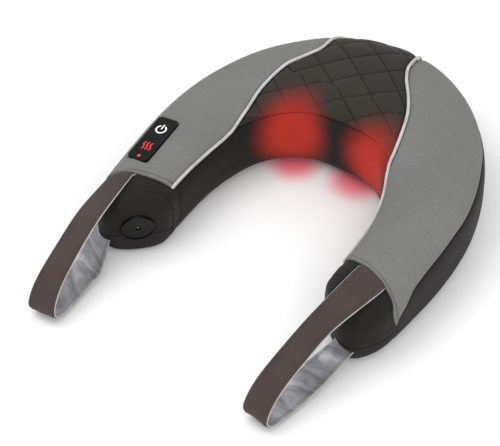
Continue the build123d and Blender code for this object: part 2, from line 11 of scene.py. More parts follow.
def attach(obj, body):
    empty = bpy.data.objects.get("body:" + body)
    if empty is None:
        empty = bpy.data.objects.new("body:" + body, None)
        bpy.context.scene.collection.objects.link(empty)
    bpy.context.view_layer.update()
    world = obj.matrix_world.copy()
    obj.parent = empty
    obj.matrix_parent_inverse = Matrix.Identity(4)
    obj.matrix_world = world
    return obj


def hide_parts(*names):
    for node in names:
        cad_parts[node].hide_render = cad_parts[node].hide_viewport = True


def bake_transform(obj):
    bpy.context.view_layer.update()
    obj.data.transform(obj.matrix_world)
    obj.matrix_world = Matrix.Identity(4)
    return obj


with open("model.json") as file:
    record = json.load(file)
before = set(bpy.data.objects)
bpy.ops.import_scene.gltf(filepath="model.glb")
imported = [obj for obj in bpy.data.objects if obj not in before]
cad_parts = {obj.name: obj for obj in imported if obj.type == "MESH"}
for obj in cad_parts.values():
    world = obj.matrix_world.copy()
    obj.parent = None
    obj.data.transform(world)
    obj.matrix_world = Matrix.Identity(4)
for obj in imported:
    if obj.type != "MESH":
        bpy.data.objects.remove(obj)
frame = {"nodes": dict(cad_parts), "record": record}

bl_info = {
    "name": "Shiatsu neck massager",
    "version": (1, 0, 0),
    "blender": (4, 5, 0),
    "location": "3D View > Sidebar > Massager",
    "description": "Covers, piping, straps, touch-pad marks and stage of a shiatsu neck massager",
    "category": "Object",
}

# Shapes are worked out in millimetres, in the part's own frame, and put into the meshes in metres.
# +Z up, the neck opening and the straps towards -Y. A station t runs along the U from -1 (left end)
# to 1; an angle runs round its section: 0 outwards, 90 on top, 180 towards the neck, 270 underneath.
MM = 0.001

# ================================================================ the padded U
STATIONS = np.array([0.0, 0.28, 0.55, 0.8, 1.0])
CENTRE_X = np.array([0.0, 105.0, 148.0, 149.0, 141.0])
CENTRE_Y = np.array([157.0, 108.0, 2.0, -88.0, -129.0])
BODY_Y = 31.0
WIDTH_END, WIDTH_GAIN, WIDTH_SPREAD = 78.0, 84.0, 0.33
HEIGHT_END, HEIGHT_GAIN, HEIGHT_SPREAD = 66.0, 36.0, 0.45
ROUNDNESS = 3.4
FOOT_DROP = 4.0
END_DEPTH = 22.0
FOOT_OUT, FOOT_IN = -62.0, 242.0
COVER = 3.0                  # thickness of the padded fabric
BELOW = 3.0                  # depth of the second grid that tells a surface's outer side
X_CURVE = np.polynomial.Polynomial.fit(STATIONS[1:]**2, CENTRE_X[1:] / STATIONS[1:], 3)
Y_CURVE = np.polynomial.Polynomial.fit(STATIONS**2, CENTRE_Y, 4)


def smooth(at, places, values):
    """Cubic pieces through the points, their slopes the harmonic mean of the two chords beside
    each point, so that the curve never overshoots them."""
    places, values, at = np.asarray(places, float), np.asarray(values, float), np.asarray(at, float)
    gap = np.diff(places)
    chord = np.diff(values) / gap
    slope = np.concatenate([chord[:1], np.zeros(len(chord) - 1), chord[-1:]])
    same = chord[1:] * chord[:-1] > 0
    both = np.where(same, chord[1:] + chord[:-1], 1.0)
    slope[1:-1] = np.where(same, 2.0 * chord[1:] * chord[:-1] / both, 0.0)
    k = np.clip(np.searchsorted(places, at) - 1, 0, len(gap) - 1)
    s = np.clip((at - places[k]) / gap[k], 0.0, 1.0)
    return ((1 + 2 * s) * (1 - s)**2 * values[k] + s * (1 - s)**2 * gap[k] * slope[k]
            + s * s * (3 - 2 * s) * values[k + 1] + s * s * (s - 1) * gap[k] * slope[k + 1])


def centre(t):
    """Middle of the U in plan: an odd polynomial of t across, an even one along."""
    return np.stack([t * X_CURVE(t * t), Y_CURVE(t * t) + BODY_Y], -1)


def heading(t):
    """Unit direction of growing stations, from a central difference."""
    along = centre(t + 1e-4) - centre(t - 1e-4)
    return along / np.linalg.norm(along, axis=-1, keepdims=True)


def half_width(t):
    """Half the section's width: widest at the middle, where the heads are."""
    return (WIDTH_END + WIDTH_GAIN / (1.0 + (t / WIDTH_SPREAD)**2)) / 2.0


def half_height(t):
    """Half the section's height."""
    return (HEIGHT_END + HEIGHT_GAIN / (1.0 + (t / HEIGHT_SPREAD)**2)) / 2.0


def signed_power(value, exponent):
    """Power of a value's size, with the value's sign."""
    return np.sign(value) * np.abs(value)**exponent


def skin(t, angle, depth=0.0, shrink=1.0, past=0.0):
    """Superellipse section carried along the U. Its lower half is cut flat at the floor; shrink and
    past narrow it and move it on to round off an end. depth goes straight into the section."""
    t, angle, depth, shrink, past = np.broadcast_arrays(*[
        np.asarray(v, float) for v in (t, angle, depth, shrink, past)])
    out = signed_power(np.cos(np.radians(angle)), 2.0 / ROUNDNESS)
    up = signed_power(np.sin(np.radians(angle)), 2.0 / ROUNDNESS)
    tall = half_height(t)
    rise = (tall * (0.35 + 0.65 * shrink) - depth) * up
    rise = np.where(up < 0.0, np.maximum(-(tall - depth), rise * (tall + FOOT_DROP) / tall), rise)
    side = (half_width(t) * shrink - depth) * out
    ahead = heading(t)
    outwards = np.stack([-ahead[..., 1], ahead[..., 0]], -1)
    place = centre(t) + ahead * past[..., None] + outwards * side[..., None]
    return np.concatenate([place, (tall + rise)[..., None]], -1)


# ---------------------------------------------------------------- places round the section
# A place round the section is a length in millimetres along one middling section, from the foot on the
# outside, so that even places are about evenly far apart everywhere and lines drawn in them are smooth.
RULER_STATION = 0.45
FINE = np.linspace(-180.0, 330.0, 25501)
RULER_STEP = np.linalg.norm(np.diff(skin(RULER_STATION + 0.0 * FINE, FINE), axis=0), axis=1)
RULE = np.concatenate([[0.0], np.cumsum(RULER_STEP)])
RULE = RULE - np.interp(FOOT_OUT, FINE, RULE)


def ruler(angle):
    """Place of an angle round the section."""
    return np.interp(angle, FINE, RULE)


def unruler(place):
    """Angle of a place round the section."""
    return np.interp(place, RULE, FINE)


FOOT, LOW, HIGH, END = [float(ruler(a)) for a in (FOOT_OUT, 20.0, 133.0, FOOT_IN)]
# (station, angle) of the band's top edge and of the panels' inner edge on the left and right arm
BAND_TOP = [(0.0, 20.0), (0.275, 21.0), (0.35, 28.0), (0.48, 29.0), (0.56, 33.0), (0.645, 32.0),
            (0.755, 25.0), (0.83, 6.0), (0.885, -1.0), (1.0, -6.0)]
INNER_TOP = {-1: [(0.0, 133.0), (0.50, 134.5), (0.55, 138.0), (0.63, 137.0), (0.716, 134.0), (0.83, 132.0),
                  (1.0, 132.0)],
             1: [(0.0, 133.0), (0.30, 135.0), (0.347, 138.0), (0.40, 149.0), (0.50, 155.0), (0.80, 158.0),
                 (1.0, 158.0)]}
# (angle, station) of the piping seam and of the grey panels' hem
SEAM = {-1: [(20.0, 0.105), (49.0, 0.133), (74.7, 0.155), (83.0, 0.194), (87.0, 0.238), (90.0, 0.278),
             (95.5, 0.335), (112.5, 0.409), (134.5, 0.50)],
        1: [(20.0, 0.028), (44.0, 0.035), (74.0, 0.047), (84.7, 0.071), (89.7, 0.115), (92.1, 0.163),
            (106.5, 0.244), (138.0, 0.347)]}
HEM = {-1: [(3.0, 0.885), (53.0, 0.884), (72.7, 0.864), (88.8, 0.848), (98.2, 0.842), (132.0, 0.836)],
       1: [(-1.0, 0.885), (11.0, 0.898), (60.0, 0.868), (84.3, 0.835), (93.7, 0.810), (121.0, 0.798),
           (158.0, 0.79)]}
SEAM_ROOM = 0.004            # stations between a piping seam and the panel beside it
WALL_ENDS = (-0.836, 0.795)  # stations where the inner wall ends
BAND_ENDS = (-0.885, 0.885)  # and the band
END_LOW, END_HIGH = -6.0, 188.0      # angles of the edge between an end's pouch and its band
ARC_DROP = 9.0               # how far the quilted panel's lower edge dips at the middle


def edge_places(t):
    """Places of the band's top edge and the panels' inner edge at a station."""
    low = ruler(smooth(np.abs(t), *np.transpose(BAND_TOP)))
    inner = [ruler(smooth(np.abs(t), *np.transpose(INNER_TOP[side]))) for side in (-1, 1)]
    return low, np.where(t < 0, *inner)


def real_angle(t, nominal):
    """Angle at a station for a nominal place: the places between two edges are shared out evenly
    between where the edges really run there."""
    low, high = edge_places(t)
    inside = low + (high - low) * (nominal - LOW) / (HIGH - LOW)
    under = FOOT + (low - FOOT) * (nominal - FOOT) / (LOW - FOOT)
    inner = high + (END - high) * (nominal - HIGH) / (END - HIGH)
    return unruler(np.where(nominal < LOW, under, np.where(nominal > HIGH, inner, inside)))


def edge_station(points, side, nominal):
    """Station at which an edge, given by its angles and stations, crosses a nominal place."""
    angles, stations = np.transpose(points)
    low, high = edge_places(side * stations)
    places = LOW + (ruler(angles) - low) / (high - low) * (HIGH - LOW)
    return smooth(nominal, places, stations)


def even_steps(points, places, count):
    """Places along a line of points, evenly far apart in length."""
    length = np.concatenate([[0.0], np.cumsum(np.linalg.norm(np.diff(points, axis=0), axis=-1))])
    return np.interp(np.linspace(0.0, length[-1], count), length, places)


def seam_rows(count):
    """Nominal places of the rows that cross the seams: even along both seams and the middle."""
    fine = np.linspace(LOW, HIGH, 4001)
    lines = [skin(0.0 * fine, unruler(fine))]
    for side in (-1, 1):
        t = side * edge_station(SEAM[side], side, fine)
        lines.append(skin(t, real_angle(t, fine)))
    step = sum(np.linalg.norm(np.diff(line, axis=0), axis=-1) for line in lines)
    length = np.concatenate([[0.0], np.cumsum(step)])
    return np.interp(np.linspace(0.0, length[-1], count), length, fine)


def eased(count):
    """0 to 1 with finer steps at both ends."""
    s = np.linspace(0.0, 1.0, count)
    return 0.25 * s + 0.75 * (0.5 - 0.5 * np.cos(np.pi * s))


ROWS = seam_rows(120)


# ================================================================ meshes
def put_mesh(name, points, quads, uv=None, crease=50.0, marks=None):
    """Mesh from arrays: points in millimetres, four corners a face, one pair of uv a point, and a
    second map for the distance to a sewn line. Doubles are merged, so collapsed faces close a pole."""
    mesh = bpy.data.meshes.new(name)
    mesh.vertices.add(len(points))
    mesh.vertices.foreach_set("co", (points * MM).astype(np.float32).ravel())
    mesh.loops.add(quads.size)
    mesh.loops.foreach_set("vertex_index", quads.astype(np.int32).ravel())
    mesh.polygons.add(len(quads))
    mesh.polygons.foreach_set("loop_start", np.arange(0, quads.size, 4, dtype=np.int32))
    mesh.update(calc_edges=True)
    for label, values in (("surface", uv), ("marks", marks)):
        if values is not None:
            layer = mesh.uv_layers.new(name=label)
            layer.data.foreach_set("uv", values[quads.ravel()].astype(np.float32).ravel())
    work = bmesh.new()
    work.from_mesh(mesh)
    bmesh.ops.remove_doubles(work, verts=work.verts, dist=1e-6)
    bmesh.ops.dissolve_degenerate(work, edges=work.edges, dist=1e-7)
    work.to_mesh(mesh)
    work.free()
    mesh.polygons.foreach_set("use_smooth", np.ones(len(mesh.polygons), bool))
    mesh.set_sharp_from_angle(angle=math.radians(crease))
    thing = bpy.data.objects.new(name, mesh)
    bpy.context.scene.collection.objects.link(thing)
    return thing


def grid_quads(rows, columns, first=0):
    """Corner numbers of a grid's faces, row by row."""
    corner = first + np.arange(rows * columns).reshape(rows, columns)
    return np.stack([corner[:-1, :-1], corner[1:, :-1], corner[1:, 1:], corner[:-1, 1:]], -1).reshape(-1, 4)


def facing_out(quads, outer, inner):
    """The faces, turned over when a grid's own faces look towards the inner one."""
    face = np.cross(outer[1:, :-1] - outer[:-1, :-1], outer[:-1, 1:] - outer[:-1, :-1])
    return quads[:, ::-1] if np.sum(face * (outer - inner)[:-1, :-1]) < 0 else quads


def turn_outwards(thing):
    """Makes a closed mesh's normals point outwards."""
    work = bmesh.new()
    work.from_mesh(thing.data)
    bmesh.ops.recalc_face_normals(work, faces=work.faces)
    work.to_mesh(thing.data)
    work.free()
    return thing


def lengths(points):
    """Distance from the start along each row of a grid, and the row's whole length."""
    step = np.linalg.norm(np.diff(points, axis=1), axis=-1)
    run = np.concatenate([np.zeros((len(points), 1)), np.cumsum(step, 1)], 1)
    return run, run[:, -1:]


def normals(points, below):
    """Unit normals of a grid, on the side away from the points below it."""
    across = np.gradient(points, axis=0)
    along = np.gradient(points, axis=1)
    normal = np.cross(across, along)
    normal /= np.maximum(np.linalg.norm(normal, axis=-1, keepdims=True), 1e-9)
    side = np.sign(np.sum(normal * (points - below), -1, keepdims=True))
    return normal * np.where(side == 0, 1.0, side)


def shell(name, outer, inner, ends=(True, True), marks=None):
    """Closed shell between two grids of the same size, with a rim on each open edge.
    ends: whether the two short edges get a rim; marks: how far each point is from a sewn line."""
    rows, columns = outer.shape[:2]
    count = rows * columns
    top = grid_quads(rows, columns)
    bottom = grid_quads(rows, columns, count)[:, ::-1]
    corner = np.arange(count).reshape(rows, columns)
    rims = []
    if ends[0]:
        rims.append(corner[:, 0][::-1])
    if ends[1]:
        rims.append(corner[:, -1])
    rims.append(corner[0])
    rims.append(corner[-1][::-1])
    strips = [np.stack([line[:-1], line[1:], line[1:] + count, line[:-1] + count], -1) for line in rims]
    quads = np.concatenate([top, bottom] + strips)
    quads = facing_out(quads, outer, inner)
    across = np.moveaxis(lengths(np.moveaxis(outer, 0, 1))[0], 0, 1)
    uv = np.stack([lengths(outer)[0], across], -1).reshape(-1, 2) * MM
    if marks is not None:
        marks = np.tile(np.stack([marks.ravel() * MM, np.zeros(count)], -1), (2, 1))
    return put_mesh(name, np.concatenate([outer.reshape(-1, 3), inner.reshape(-1, 3)]), quads,
                    np.concatenate([uv, uv]), 50.0, marks)


def flow(points, count):
    """Catmull-Rom curve through rows of points, evenly many steps on each span."""
    points = np.asarray(points, float)
    ends = [2 * points[:1] - points[1:2], points, 2 * points[-1:] - points[-2:-1]]
    whole = np.concatenate(ends)
    place = np.linspace(0.0, len(points) - 1.0, count)
    k = np.minimum(place.astype(int), len(points) - 2)
    s = (place - k).reshape((-1,) + (1,) * (points.ndim - 1))
    a, b, c, d = whole[k], whole[k + 1], whole[k + 2], whole[k + 3]
    return 0.5 * (2 * b + (c - a) * s + (2 * a - 5 * b + 4 * c - d) * s**2 + (3 * b - 3 * c + d - a) * s**3)


def even_flow(points, count):
    """The same curve with its steps evenly long."""
    fine = flow(points, 12 * len(points))
    middle = fine if fine.ndim == 2 else fine.mean(1)
    place = even_steps(middle, np.arange(len(fine), dtype=float), count)
    low = np.minimum(place.astype(int), len(fine) - 2)
    share = (place - low).reshape((-1,) + (1,) * (fine.ndim - 1))
    return fine[low] * (1 - share) + fine[low + 1] * share


def tube(name, line, up, radius, flat=1.0, sides=12):
    """Round cord along a line of points; up is a direction or one for each point, and flat
    squeezes the cord along it. The ends are domed by two smaller rings."""
    line = np.asarray(line, float)
    along = np.gradient(line, axis=0)
    along /= np.linalg.norm(along, axis=1, keepdims=True)
    side = np.cross(along, np.broadcast_to(up, line.shape))
    side /= np.linalg.norm(side, axis=1, keepdims=True)
    top = np.cross(side, along)
    size = np.full(len(line), radius, float)
    domes = (0.0, 0.7)
    start = [line[0] - along[0] * radius * (1 - r) for r in domes]
    finish = [line[-1] + along[-1] * radius * (1 - r) for r in domes[::-1]]
    line = np.concatenate([start, line, finish])
    side, top = [np.concatenate([v[:1], v[:1], v, v[-1:], v[-1:]]) for v in (side, top)]
    size = np.concatenate([[1e-4, 0.7 * radius], size, [0.7 * radius, 1e-4]])
    turn = np.linspace(0.0, 2 * np.pi, sides + 1)
    ring = (side[:, None] * np.cos(turn)[:, None] + top[:, None] * np.sin(turn)[:, None] * flat)
    points = line[:, None] + ring * size[:, None, None]
    rows, columns = points.shape[:2]
    run = np.concatenate([[0.0], np.cumsum(np.linalg.norm(np.diff(line, axis=0), axis=1))])
    uv = np.stack(np.meshgrid(run, turn * radius, indexing="ij"), -1).reshape(-1, 2) * MM
    return turn_outwards(put_mesh(name, points.reshape(-1, 3), grid_quads(rows, columns), uv, 80.0))


def stitches(name, line, up, length=2.6, gap=1.3, radius=0.32):
    """Row of sewn stitches: short six-sided rods with pointed ends, evenly far apart on a line."""
    line = np.asarray(line, float)
    up = np.broadcast_to(up, line.shape)
    run = np.concatenate([[0.0], np.cumsum(np.linalg.norm(np.diff(line, axis=0), axis=1))])
    starts = np.arange(0.0, run[-1] - length, length + gap)
    at = starts[:, None] + np.linspace(0.0, length, 5)
    place = np.stack([np.interp(at, run, line[:, k]) for k in range(3)], -1)
    lift = np.stack([np.interp(at, run, up[:, k]) for k in range(3)], -1)
    along = place[:, -1:] - place[:, :1]
    along /= np.linalg.norm(along, axis=-1, keepdims=True)
    side = np.cross(along, lift)
    side /= np.linalg.norm(side, axis=-1, keepdims=True)
    lift = np.cross(side, along)
    bulge = np.array([0.02, 0.85, 1.0, 0.85, 0.02]) * radius
    sink = np.array([-0.6, 0.1, 0.3, 0.1, -0.6]) * radius
    turn = np.linspace(0.0, 2 * np.pi, 7)
    ring = side[:, :, None] * np.cos(turn)[:, None] + lift[:, :, None] * np.sin(turn)[:, None]
    points = (place + lift * sink[:, None])[:, :, None] + ring * bulge[:, None, None]
    count = points.shape[1] * points.shape[2]
    faces = grid_quads(points.shape[1], points.shape[2])
    quads = (faces[None] + (np.arange(len(points)) * count)[:, None, None]).reshape(-1, 4)
    return turn_outwards(put_mesh(name, points.reshape(-1, 3), quads, None, 80.0))


def ripple(points, size, seed):
    """Smooth pattern between about -1 and 1: sines of the place along three slanted directions."""
    draw = np.random.default_rng(seed)
    total = np.zeros(points.shape[:-1])
    for _ in range(7):
        way = draw.normal(size=3)
        way /= np.linalg.norm(way) * size * draw.uniform(0.7, 1.6)
        total += np.sin(points @ way * 2 * np.pi + draw.uniform(0, 6.28))
    return total / 3.2


def pull(distance, reach, depth):
    """How deep a sewn edge pulls the cover in, at a distance from it: largest at the edge."""
    return depth * np.exp(-(distance / reach)**1.5)


def corner_round(distance, radius):
    """Quarter-round drop of a cut edge."""
    near = np.clip(1.0 - distance / radius, 0.0, 1.0)
    return radius * (1.0 - np.sqrt(1.0 - near**2 * 0.98))


# ================================================================ cloth
CLOTH_FRAMES = 20


def swell(outer, under, pinned, pressure, cap):
    """Cloth simulation of a cover held where pinned is true, blown out by its filling. Gives how far
    each point of the grid moves outwards, at most cap."""
    rows, columns = outer.shape[:2]
    quads = grid_quads(rows, columns)
    quads = facing_out(quads, outer, under)
    mesh = bpy.data.meshes.new("cloth")
    mesh.from_pydata((outer.reshape(-1, 3) * MM).tolist(), [], quads.tolist())
    mesh.update()
    thing = bpy.data.objects.new("cloth", mesh)
    bpy.context.scene.collection.objects.link(thing)
    held = thing.vertex_groups.new(name="held")
    held.add(np.flatnonzero(pinned.ravel()).tolist(), 1.0, "REPLACE")
    cloth = thing.modifiers.new("cloth", "CLOTH")
    rules = cloth.settings
    rules.vertex_group_mass = "held"
    rules.quality = 6
    rules.mass = 0.3
    rules.tension_stiffness = rules.compression_stiffness = 18.0
    rules.shear_stiffness = 8.0
    rules.bending_stiffness = 0.6
    rules.use_pressure = True
    rules.uniform_pressure_force = pressure
    rules.effector_weights.gravity = 0.0
    scene = bpy.context.scene
    for number in range(1, CLOTH_FRAMES + 1):
        scene.frame_set(number)
    shape = thing.evaluated_get(bpy.context.evaluated_depsgraph_get()).data
    moved = np.zeros(len(shape.vertices) * 3, np.float32)
    shape.vertices.foreach_get("co", moved)
    scene.frame_set(1)
    bpy.data.objects.remove(thing)
    bpy.data.meshes.remove(mesh)
    away = np.sum((moved.reshape(rows, columns, 3) / MM - outer) * normals(outer, under), -1)
    return np.clip(np.nan_to_num(away), 0.0, cap)


def spread(coarse, shares):
    """A coarse grid of values, read at every one of the seam rows and at shares of its columns."""
    high, wide = coarse.shape
    r = np.linspace(0.0, 1.0, len(ROWS))[:, None] * (high - 1) + 0.0 * shares
    c = shares * (wide - 1) + 0.0 * r
    i = np.clip(np.floor(r).astype(int), 0, high - 2)
    j = np.clip(np.floor(c).astype(int), 0, wide - 2)
    p, q = r - i, c - j
    p, q = p * p * (3 - 2 * p) * 0.5 + p * 0.5, q * q * (3 - 2 * q) * 0.5 + q * 0.5
    return ((coarse[i, j] * (1 - p) + coarse[i + 1, j] * p) * (1 - q)
            + (coarse[i, j + 1] * (1 - p) + coarse[i + 1, j + 1] * p) * q)


# ================================================================ materials
def linear(colour):
    """Screen colour, 0 to 255, as linear light."""
    share = np.asarray(colour, float) / 255.0
    return tuple(np.where(share <= 0.04045, share / 12.92, ((share + 0.055) / 1.055)**2.4))


class Finish:
    """One procedural material, with short ways to add its nodes."""

    def __init__(self, name, roughness, **sockets):
        self.material = bpy.data.materials.new(name)
        self.material.use_nodes = True
        self.tree = self.material.node_tree
        self.shader = self.tree.nodes["Principled BSDF"]
        self.shader.inputs["Roughness"].default_value = roughness
        for socket, value in sockets.items():
            self.shader.inputs[socket.replace("_", " ")].default_value = value
        self.where = self.add("ShaderNodeTexCoord")

    def add(self, kind, **values):
        """New node of a kind, with its settings."""
        node = self.tree.nodes.new(kind)
        for key, value in values.items():
            setattr(node, key, value)
        return node

    def join(self, source, target):
        """Link from an output to an input."""
        self.tree.links.new(source, target)

    def place(self, uv=False, scale=(1.0, 1.0, 1.0), turn=(0.0, 0.0, 0.0)):
        """Coordinates for a pattern, scaled and turned."""
        move = self.add("ShaderNodeMapping")
        move.inputs["Scale"].default_value = scale
        move.inputs["Rotation"].default_value = turn
        self.join(self.where.outputs["UV" if uv else "Object"], move.inputs["Vector"])
        return move.outputs["Vector"]

    def noise(self, scale, detail=3.0, rough=0.5, at=None, distortion=0.0):
        """Cloudy pattern."""
        node = self.add("ShaderNodeTexNoise")
        node.inputs["Scale"].default_value = scale
        node.inputs["Detail"].default_value = detail
        node.inputs["Roughness"].default_value = rough
        node.inputs["Distortion"].default_value = distortion
        self.join(at or self.where.outputs["Object"], node.inputs["Vector"])
        return node.outputs["Fac"]

    def cells(self, scale):
        """Distance to the nearest of many scattered points."""
        node = self.add("ShaderNodeTexVoronoi", feature="F1")
        node.inputs["Scale"].default_value = scale
        self.join(self.where.outputs["Object"], node.inputs["Vector"])
        return node.outputs["Distance"]

    def wave(self, scale, at=None, direction="X", profile="SIN", distortion=0.0):
        """Bands across one direction."""
        node = self.add("ShaderNodeTexWave", wave_type="BANDS", bands_direction=direction,
                        wave_profile=profile)
        node.inputs["Scale"].default_value = scale
        node.inputs["Distortion"].default_value = distortion
        self.join(at or self.where.outputs["Object"], node.inputs["Vector"])
        return node.outputs["Fac"]

    def maths(self, kind, a, b=None, c=None, clamp=False):
        """Sum, product or the like of patterns and numbers."""
        node = self.add("ShaderNodeMath", operation=kind, use_clamp=clamp)
        for socket, value in zip(node.inputs, (a, b, c)):
            if value is None:
                continue
            if isinstance(value, (int, float)):
                socket.default_value = value
            else:
                self.join(value, socket)
        return node.outputs[0]

    def ramp(self, value, stops):
        """Colours or greys between stops, each (place, colour)."""
        node = self.add("ShaderNodeValToRGB")
        marks = node.color_ramp.elements
        for index, (place, colour) in enumerate(stops):
            mark = marks[index] if index < len(marks) else marks.new(place)
            mark.position = place
            mark.color = (*colour, 1.0)
        self.join(value, node.inputs["Fac"])
        return node.outputs["Color"]

    def blend(self, share, a, b):
        """Mix of two colours by a share."""
        node = self.add("ShaderNodeMix", data_type="RGBA")
        self.join(share, node.inputs["Factor"])
        for socket, value in ((node.inputs[6], a), (node.inputs[7], b)):
            if isinstance(value, tuple):
                socket.default_value = (*value, 1.0)
            else:
                self.join(value, socket)
        return node.outputs[2]

    def colour(self, value):
        """Base colour from a pattern."""
        self.join(value, self.shader.inputs["Base Color"])
        return self

    def rough(self, value, low, high):
        """Roughness that varies between two values with a pattern."""
        node = self.add("ShaderNodeMapRange")
        node.inputs["To Min"].default_value = low
        node.inputs["To Max"].default_value = high
        self.join(value, node.inputs["Value"])
        self.join(node.outputs["Result"], self.shader.inputs["Roughness"])
        return self

    def bump(self, *heights):
        """Bumps laid on each other: each (pattern, strength, height in millimetres)."""
        last = None
        for height, strength, deep in heights:
            node = self.add("ShaderNodeBump")
            node.inputs["Strength"].default_value = strength
            node.inputs["Distance"].default_value = deep * MM
            self.join(height, node.inputs["Height"])
            if last:
                self.join(last, node.inputs["Normal"])
            last = node.outputs["Normal"]
        self.join(last, self.shader.inputs["Normal"])
        return self


def paint(thing, finish, body="root", rides=True):
    """Gives a piece its material and the body it rides on."""
    thing.data.materials.clear()
    thing.data.materials.append(finish.material)
    if rides:
        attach(thing, body)
    return thing


CREASE_SHADE_REACH = 2.2           # how far from a sewn line the cloth is darkened by the painted crease shade


def knit(name, dark, light, stitch=0.9, sheen=0.1, glow=None, crease=0.45):
    """Stretch jersey: a fine cell bump, a faint brushed mottle, a little sheen, and painted crease shade, a
    darker line where the second UV map says that a seam, a quilting line or an edge runs; crease is the share
    it darkens to."""
    look = Finish(name, 0.85, Sheen_Weight=sheen, Sheen_Roughness=0.5, Specular_IOR_Level=0.12)
    fine = look.cells(1000.0 / stitch)
    brushed = look.noise(150.0, 4.0, 0.7, look.place(scale=(1.0, 1.6, 1.0), turn=(0.0, 0.0, 0.7)), 0.6)
    broad = look.noise(11.0, 2.0, 0.5)
    grain = look.noise(900.0, 2.0, 0.7)
    tone = look.maths("MULTIPLY_ADD", broad, 0.25, look.maths("MULTIPLY", brushed, 0.35))
    tone = look.maths("MULTIPLY_ADD", grain, 0.4, tone)
    # painted shade along seams, quilting lines and edges, read from the marks UV map
    cloth = painted_crease_shade(look, look.ramp(tone, [(0.32, linear(dark)), (0.68, linear(light))]), crease)
    if glow is not None:
        cloth = lit(look, cloth, glow)
    look.colour(cloth)
    look.rough(grain, 0.77, 0.93)
    look.bump((fine, 0.30, 0.18), (brushed, 0.18, 0.25), (broad, 0.2, 0.8))
    return look


def painted_crease_shade(look, cloth, crease):
    """Painted crease shade: the cloth's colour, darkened to a share of itself along seams, quilting lines and
    edges.
    """
    sewn = look.add("ShaderNodeUVMap", uv_map="marks")
    apart = look.add("ShaderNodeSeparateXYZ")
    look.join(sewn.outputs["UV"], apart.inputs[0])
    near = look.add("ShaderNodeMapRange", interpolation_type="SMOOTHSTEP")
    near.inputs["From Max"].default_value = CREASE_SHADE_REACH * MM
    near.inputs["To Min"].default_value = crease
    look.join(apart.outputs["X"], near.inputs["Value"])
    shade = look.add("ShaderNodeMix", data_type="RGBA", blend_type="MULTIPLY")
    shade.inputs["Factor"].default_value = 1.0
    look.join(cloth, shade.inputs[6])
    look.join(near.outputs["Result"], shade.inputs[7])
    return shade.outputs[2]


GLOW_MIDDLES = [(-55.0, 101.0, 54.0), (49.0, 103.0, 54.0)]
GLOW_SHAPE = (1.0, 0.8, 0.8)       # the lit patches are taller than wide


def lit(look, cloth, glow):
    """Red light that shines through the fabric round two centres and fades outwards.
    The share is a smooth step of the distance from each centre; the larger one counts."""
    shares = []
    for middle in GLOW_MIDDLES:
        gap = look.add("ShaderNodeVectorMath", operation="DISTANCE")
        look.join(look.place(scale=GLOW_SHAPE), gap.inputs[0])
        gap.inputs[1].default_value = [v * MM * k for v, k in zip(middle, GLOW_SHAPE)]
        fade = look.add("ShaderNodeMapRange", interpolation_type="SMOOTHERSTEP")
        fade.inputs["From Min"].default_value = glow.reach
        fade.inputs["From Max"].default_value = glow.core
        look.join(gap.outputs["Value"], fade.inputs["Value"])
        shares.append(fade.outputs["Result"])
    share = look.maths("MAXIMUM", *shares)
    broad = look.noise(30.0, 2.0)
    share = look.maths("MULTIPLY", share, look.maths("MULTIPLY_ADD", broad, 0.25, 0.87), clamp=True)
    look.join(look.blend(share, (0.0, 0.0, 0.0), tuple(glow.colour)), look.shader.inputs["Emission Color"])
    look.shader.inputs["Emission Strength"].default_value = glow.strength
    return look.blend(share, cloth, linear((96, 22, 18)))


def woven(name, dark, light, thread=0.9, roughness=0.7, sheen=0.15):
    """Plain weave on the piece's own UV map: crossed thread waves, a mottle and sheen."""
    look = Finish(name, roughness, Sheen_Weight=sheen, Specular_IOR_Level=0.3)
    at = look.place(uv=True)
    warp = look.wave(157.0 / thread, at, "X")
    weft = look.wave(157.0 / thread, at, "Y")
    threads = look.maths("MULTIPLY", warp, weft)
    slub = look.noise(70.0, 3.0, 0.6, look.place(uv=True, scale=(1.0, 6.0, 1.0)))
    broad = look.noise(22.0, 3.0, 0.5)
    tone = look.maths("ADD", look.maths("MULTIPLY", slub, 0.4), look.maths("MULTIPLY", broad, 0.5))
    tone = look.maths("MULTIPLY_ADD", threads, 0.12, tone)
    look.colour(look.ramp(tone, [(0.26, linear(dark)), (0.72, linear(light))]))
    look.rough(slub, roughness - 0.08, roughness + 0.08)
    look.bump((threads, 0.5, 0.22), (slub, 0.12, 0.3))
    return look


def satin(name):
    """Silver satin lining: folds across its length with painted highlights and shade on them, fine ribs and a
    soft gloss.
    """
    look = Finish(name, 0.42, Metallic=0.35, Sheen_Weight=0.2, Specular_IOR_Level=0.5)
    folds = look.noise(1.0, 4.0, 0.62, look.place(uv=True, scale=(16.0, 48.0, 1.0), turn=(0.0, 0.0, 0.3)), 0.9)
    fine = look.noise(1.0, 2.0, 0.6, look.place(uv=True, scale=(160.0, 900.0, 1.0)))
    broad = look.noise(26.0, 2.0)
    tone = look.maths("MULTIPLY_ADD", folds, 0.7, look.maths("MULTIPLY", broad, 0.3))
    # painted highlight and shade: the colour runs from dark to bright with the folds
    look.colour(look.ramp(tone, [(0.33, linear((78, 78, 83))), (0.48, linear((140, 140, 146))),
                                 (0.64, linear((190, 190, 194)))]))
    look.rough(fine, 0.36, 0.55)
    look.bump((folds, 0.55, 2.2), (fine, 0.2, 0.12))
    return look


def moulded(name, colour, roughness=0.45, grain=1.0, coat=0.0):
    """Moulded plastic: spark-eroded grain, faint flow marks and slightly uneven gloss."""
    look = Finish(name, roughness, Coat_Weight=coat, Coat_Roughness=0.06)
    fine = look.noise(2600.0 / grain, 3.0, 0.6)
    broad = look.noise(60.0, 3.0, 0.5)
    base = np.array(linear(colour))
    look.colour(look.ramp(broad, [(0.3, tuple(base * 0.88)), (0.7, tuple(base * 1.12))]))
    look.rough(broad, roughness * 0.8, min(roughness * 1.25, 1.0))
    look.bump((fine, 0.12, 0.06 * grain), (broad, 0.08, 0.25))
    return look


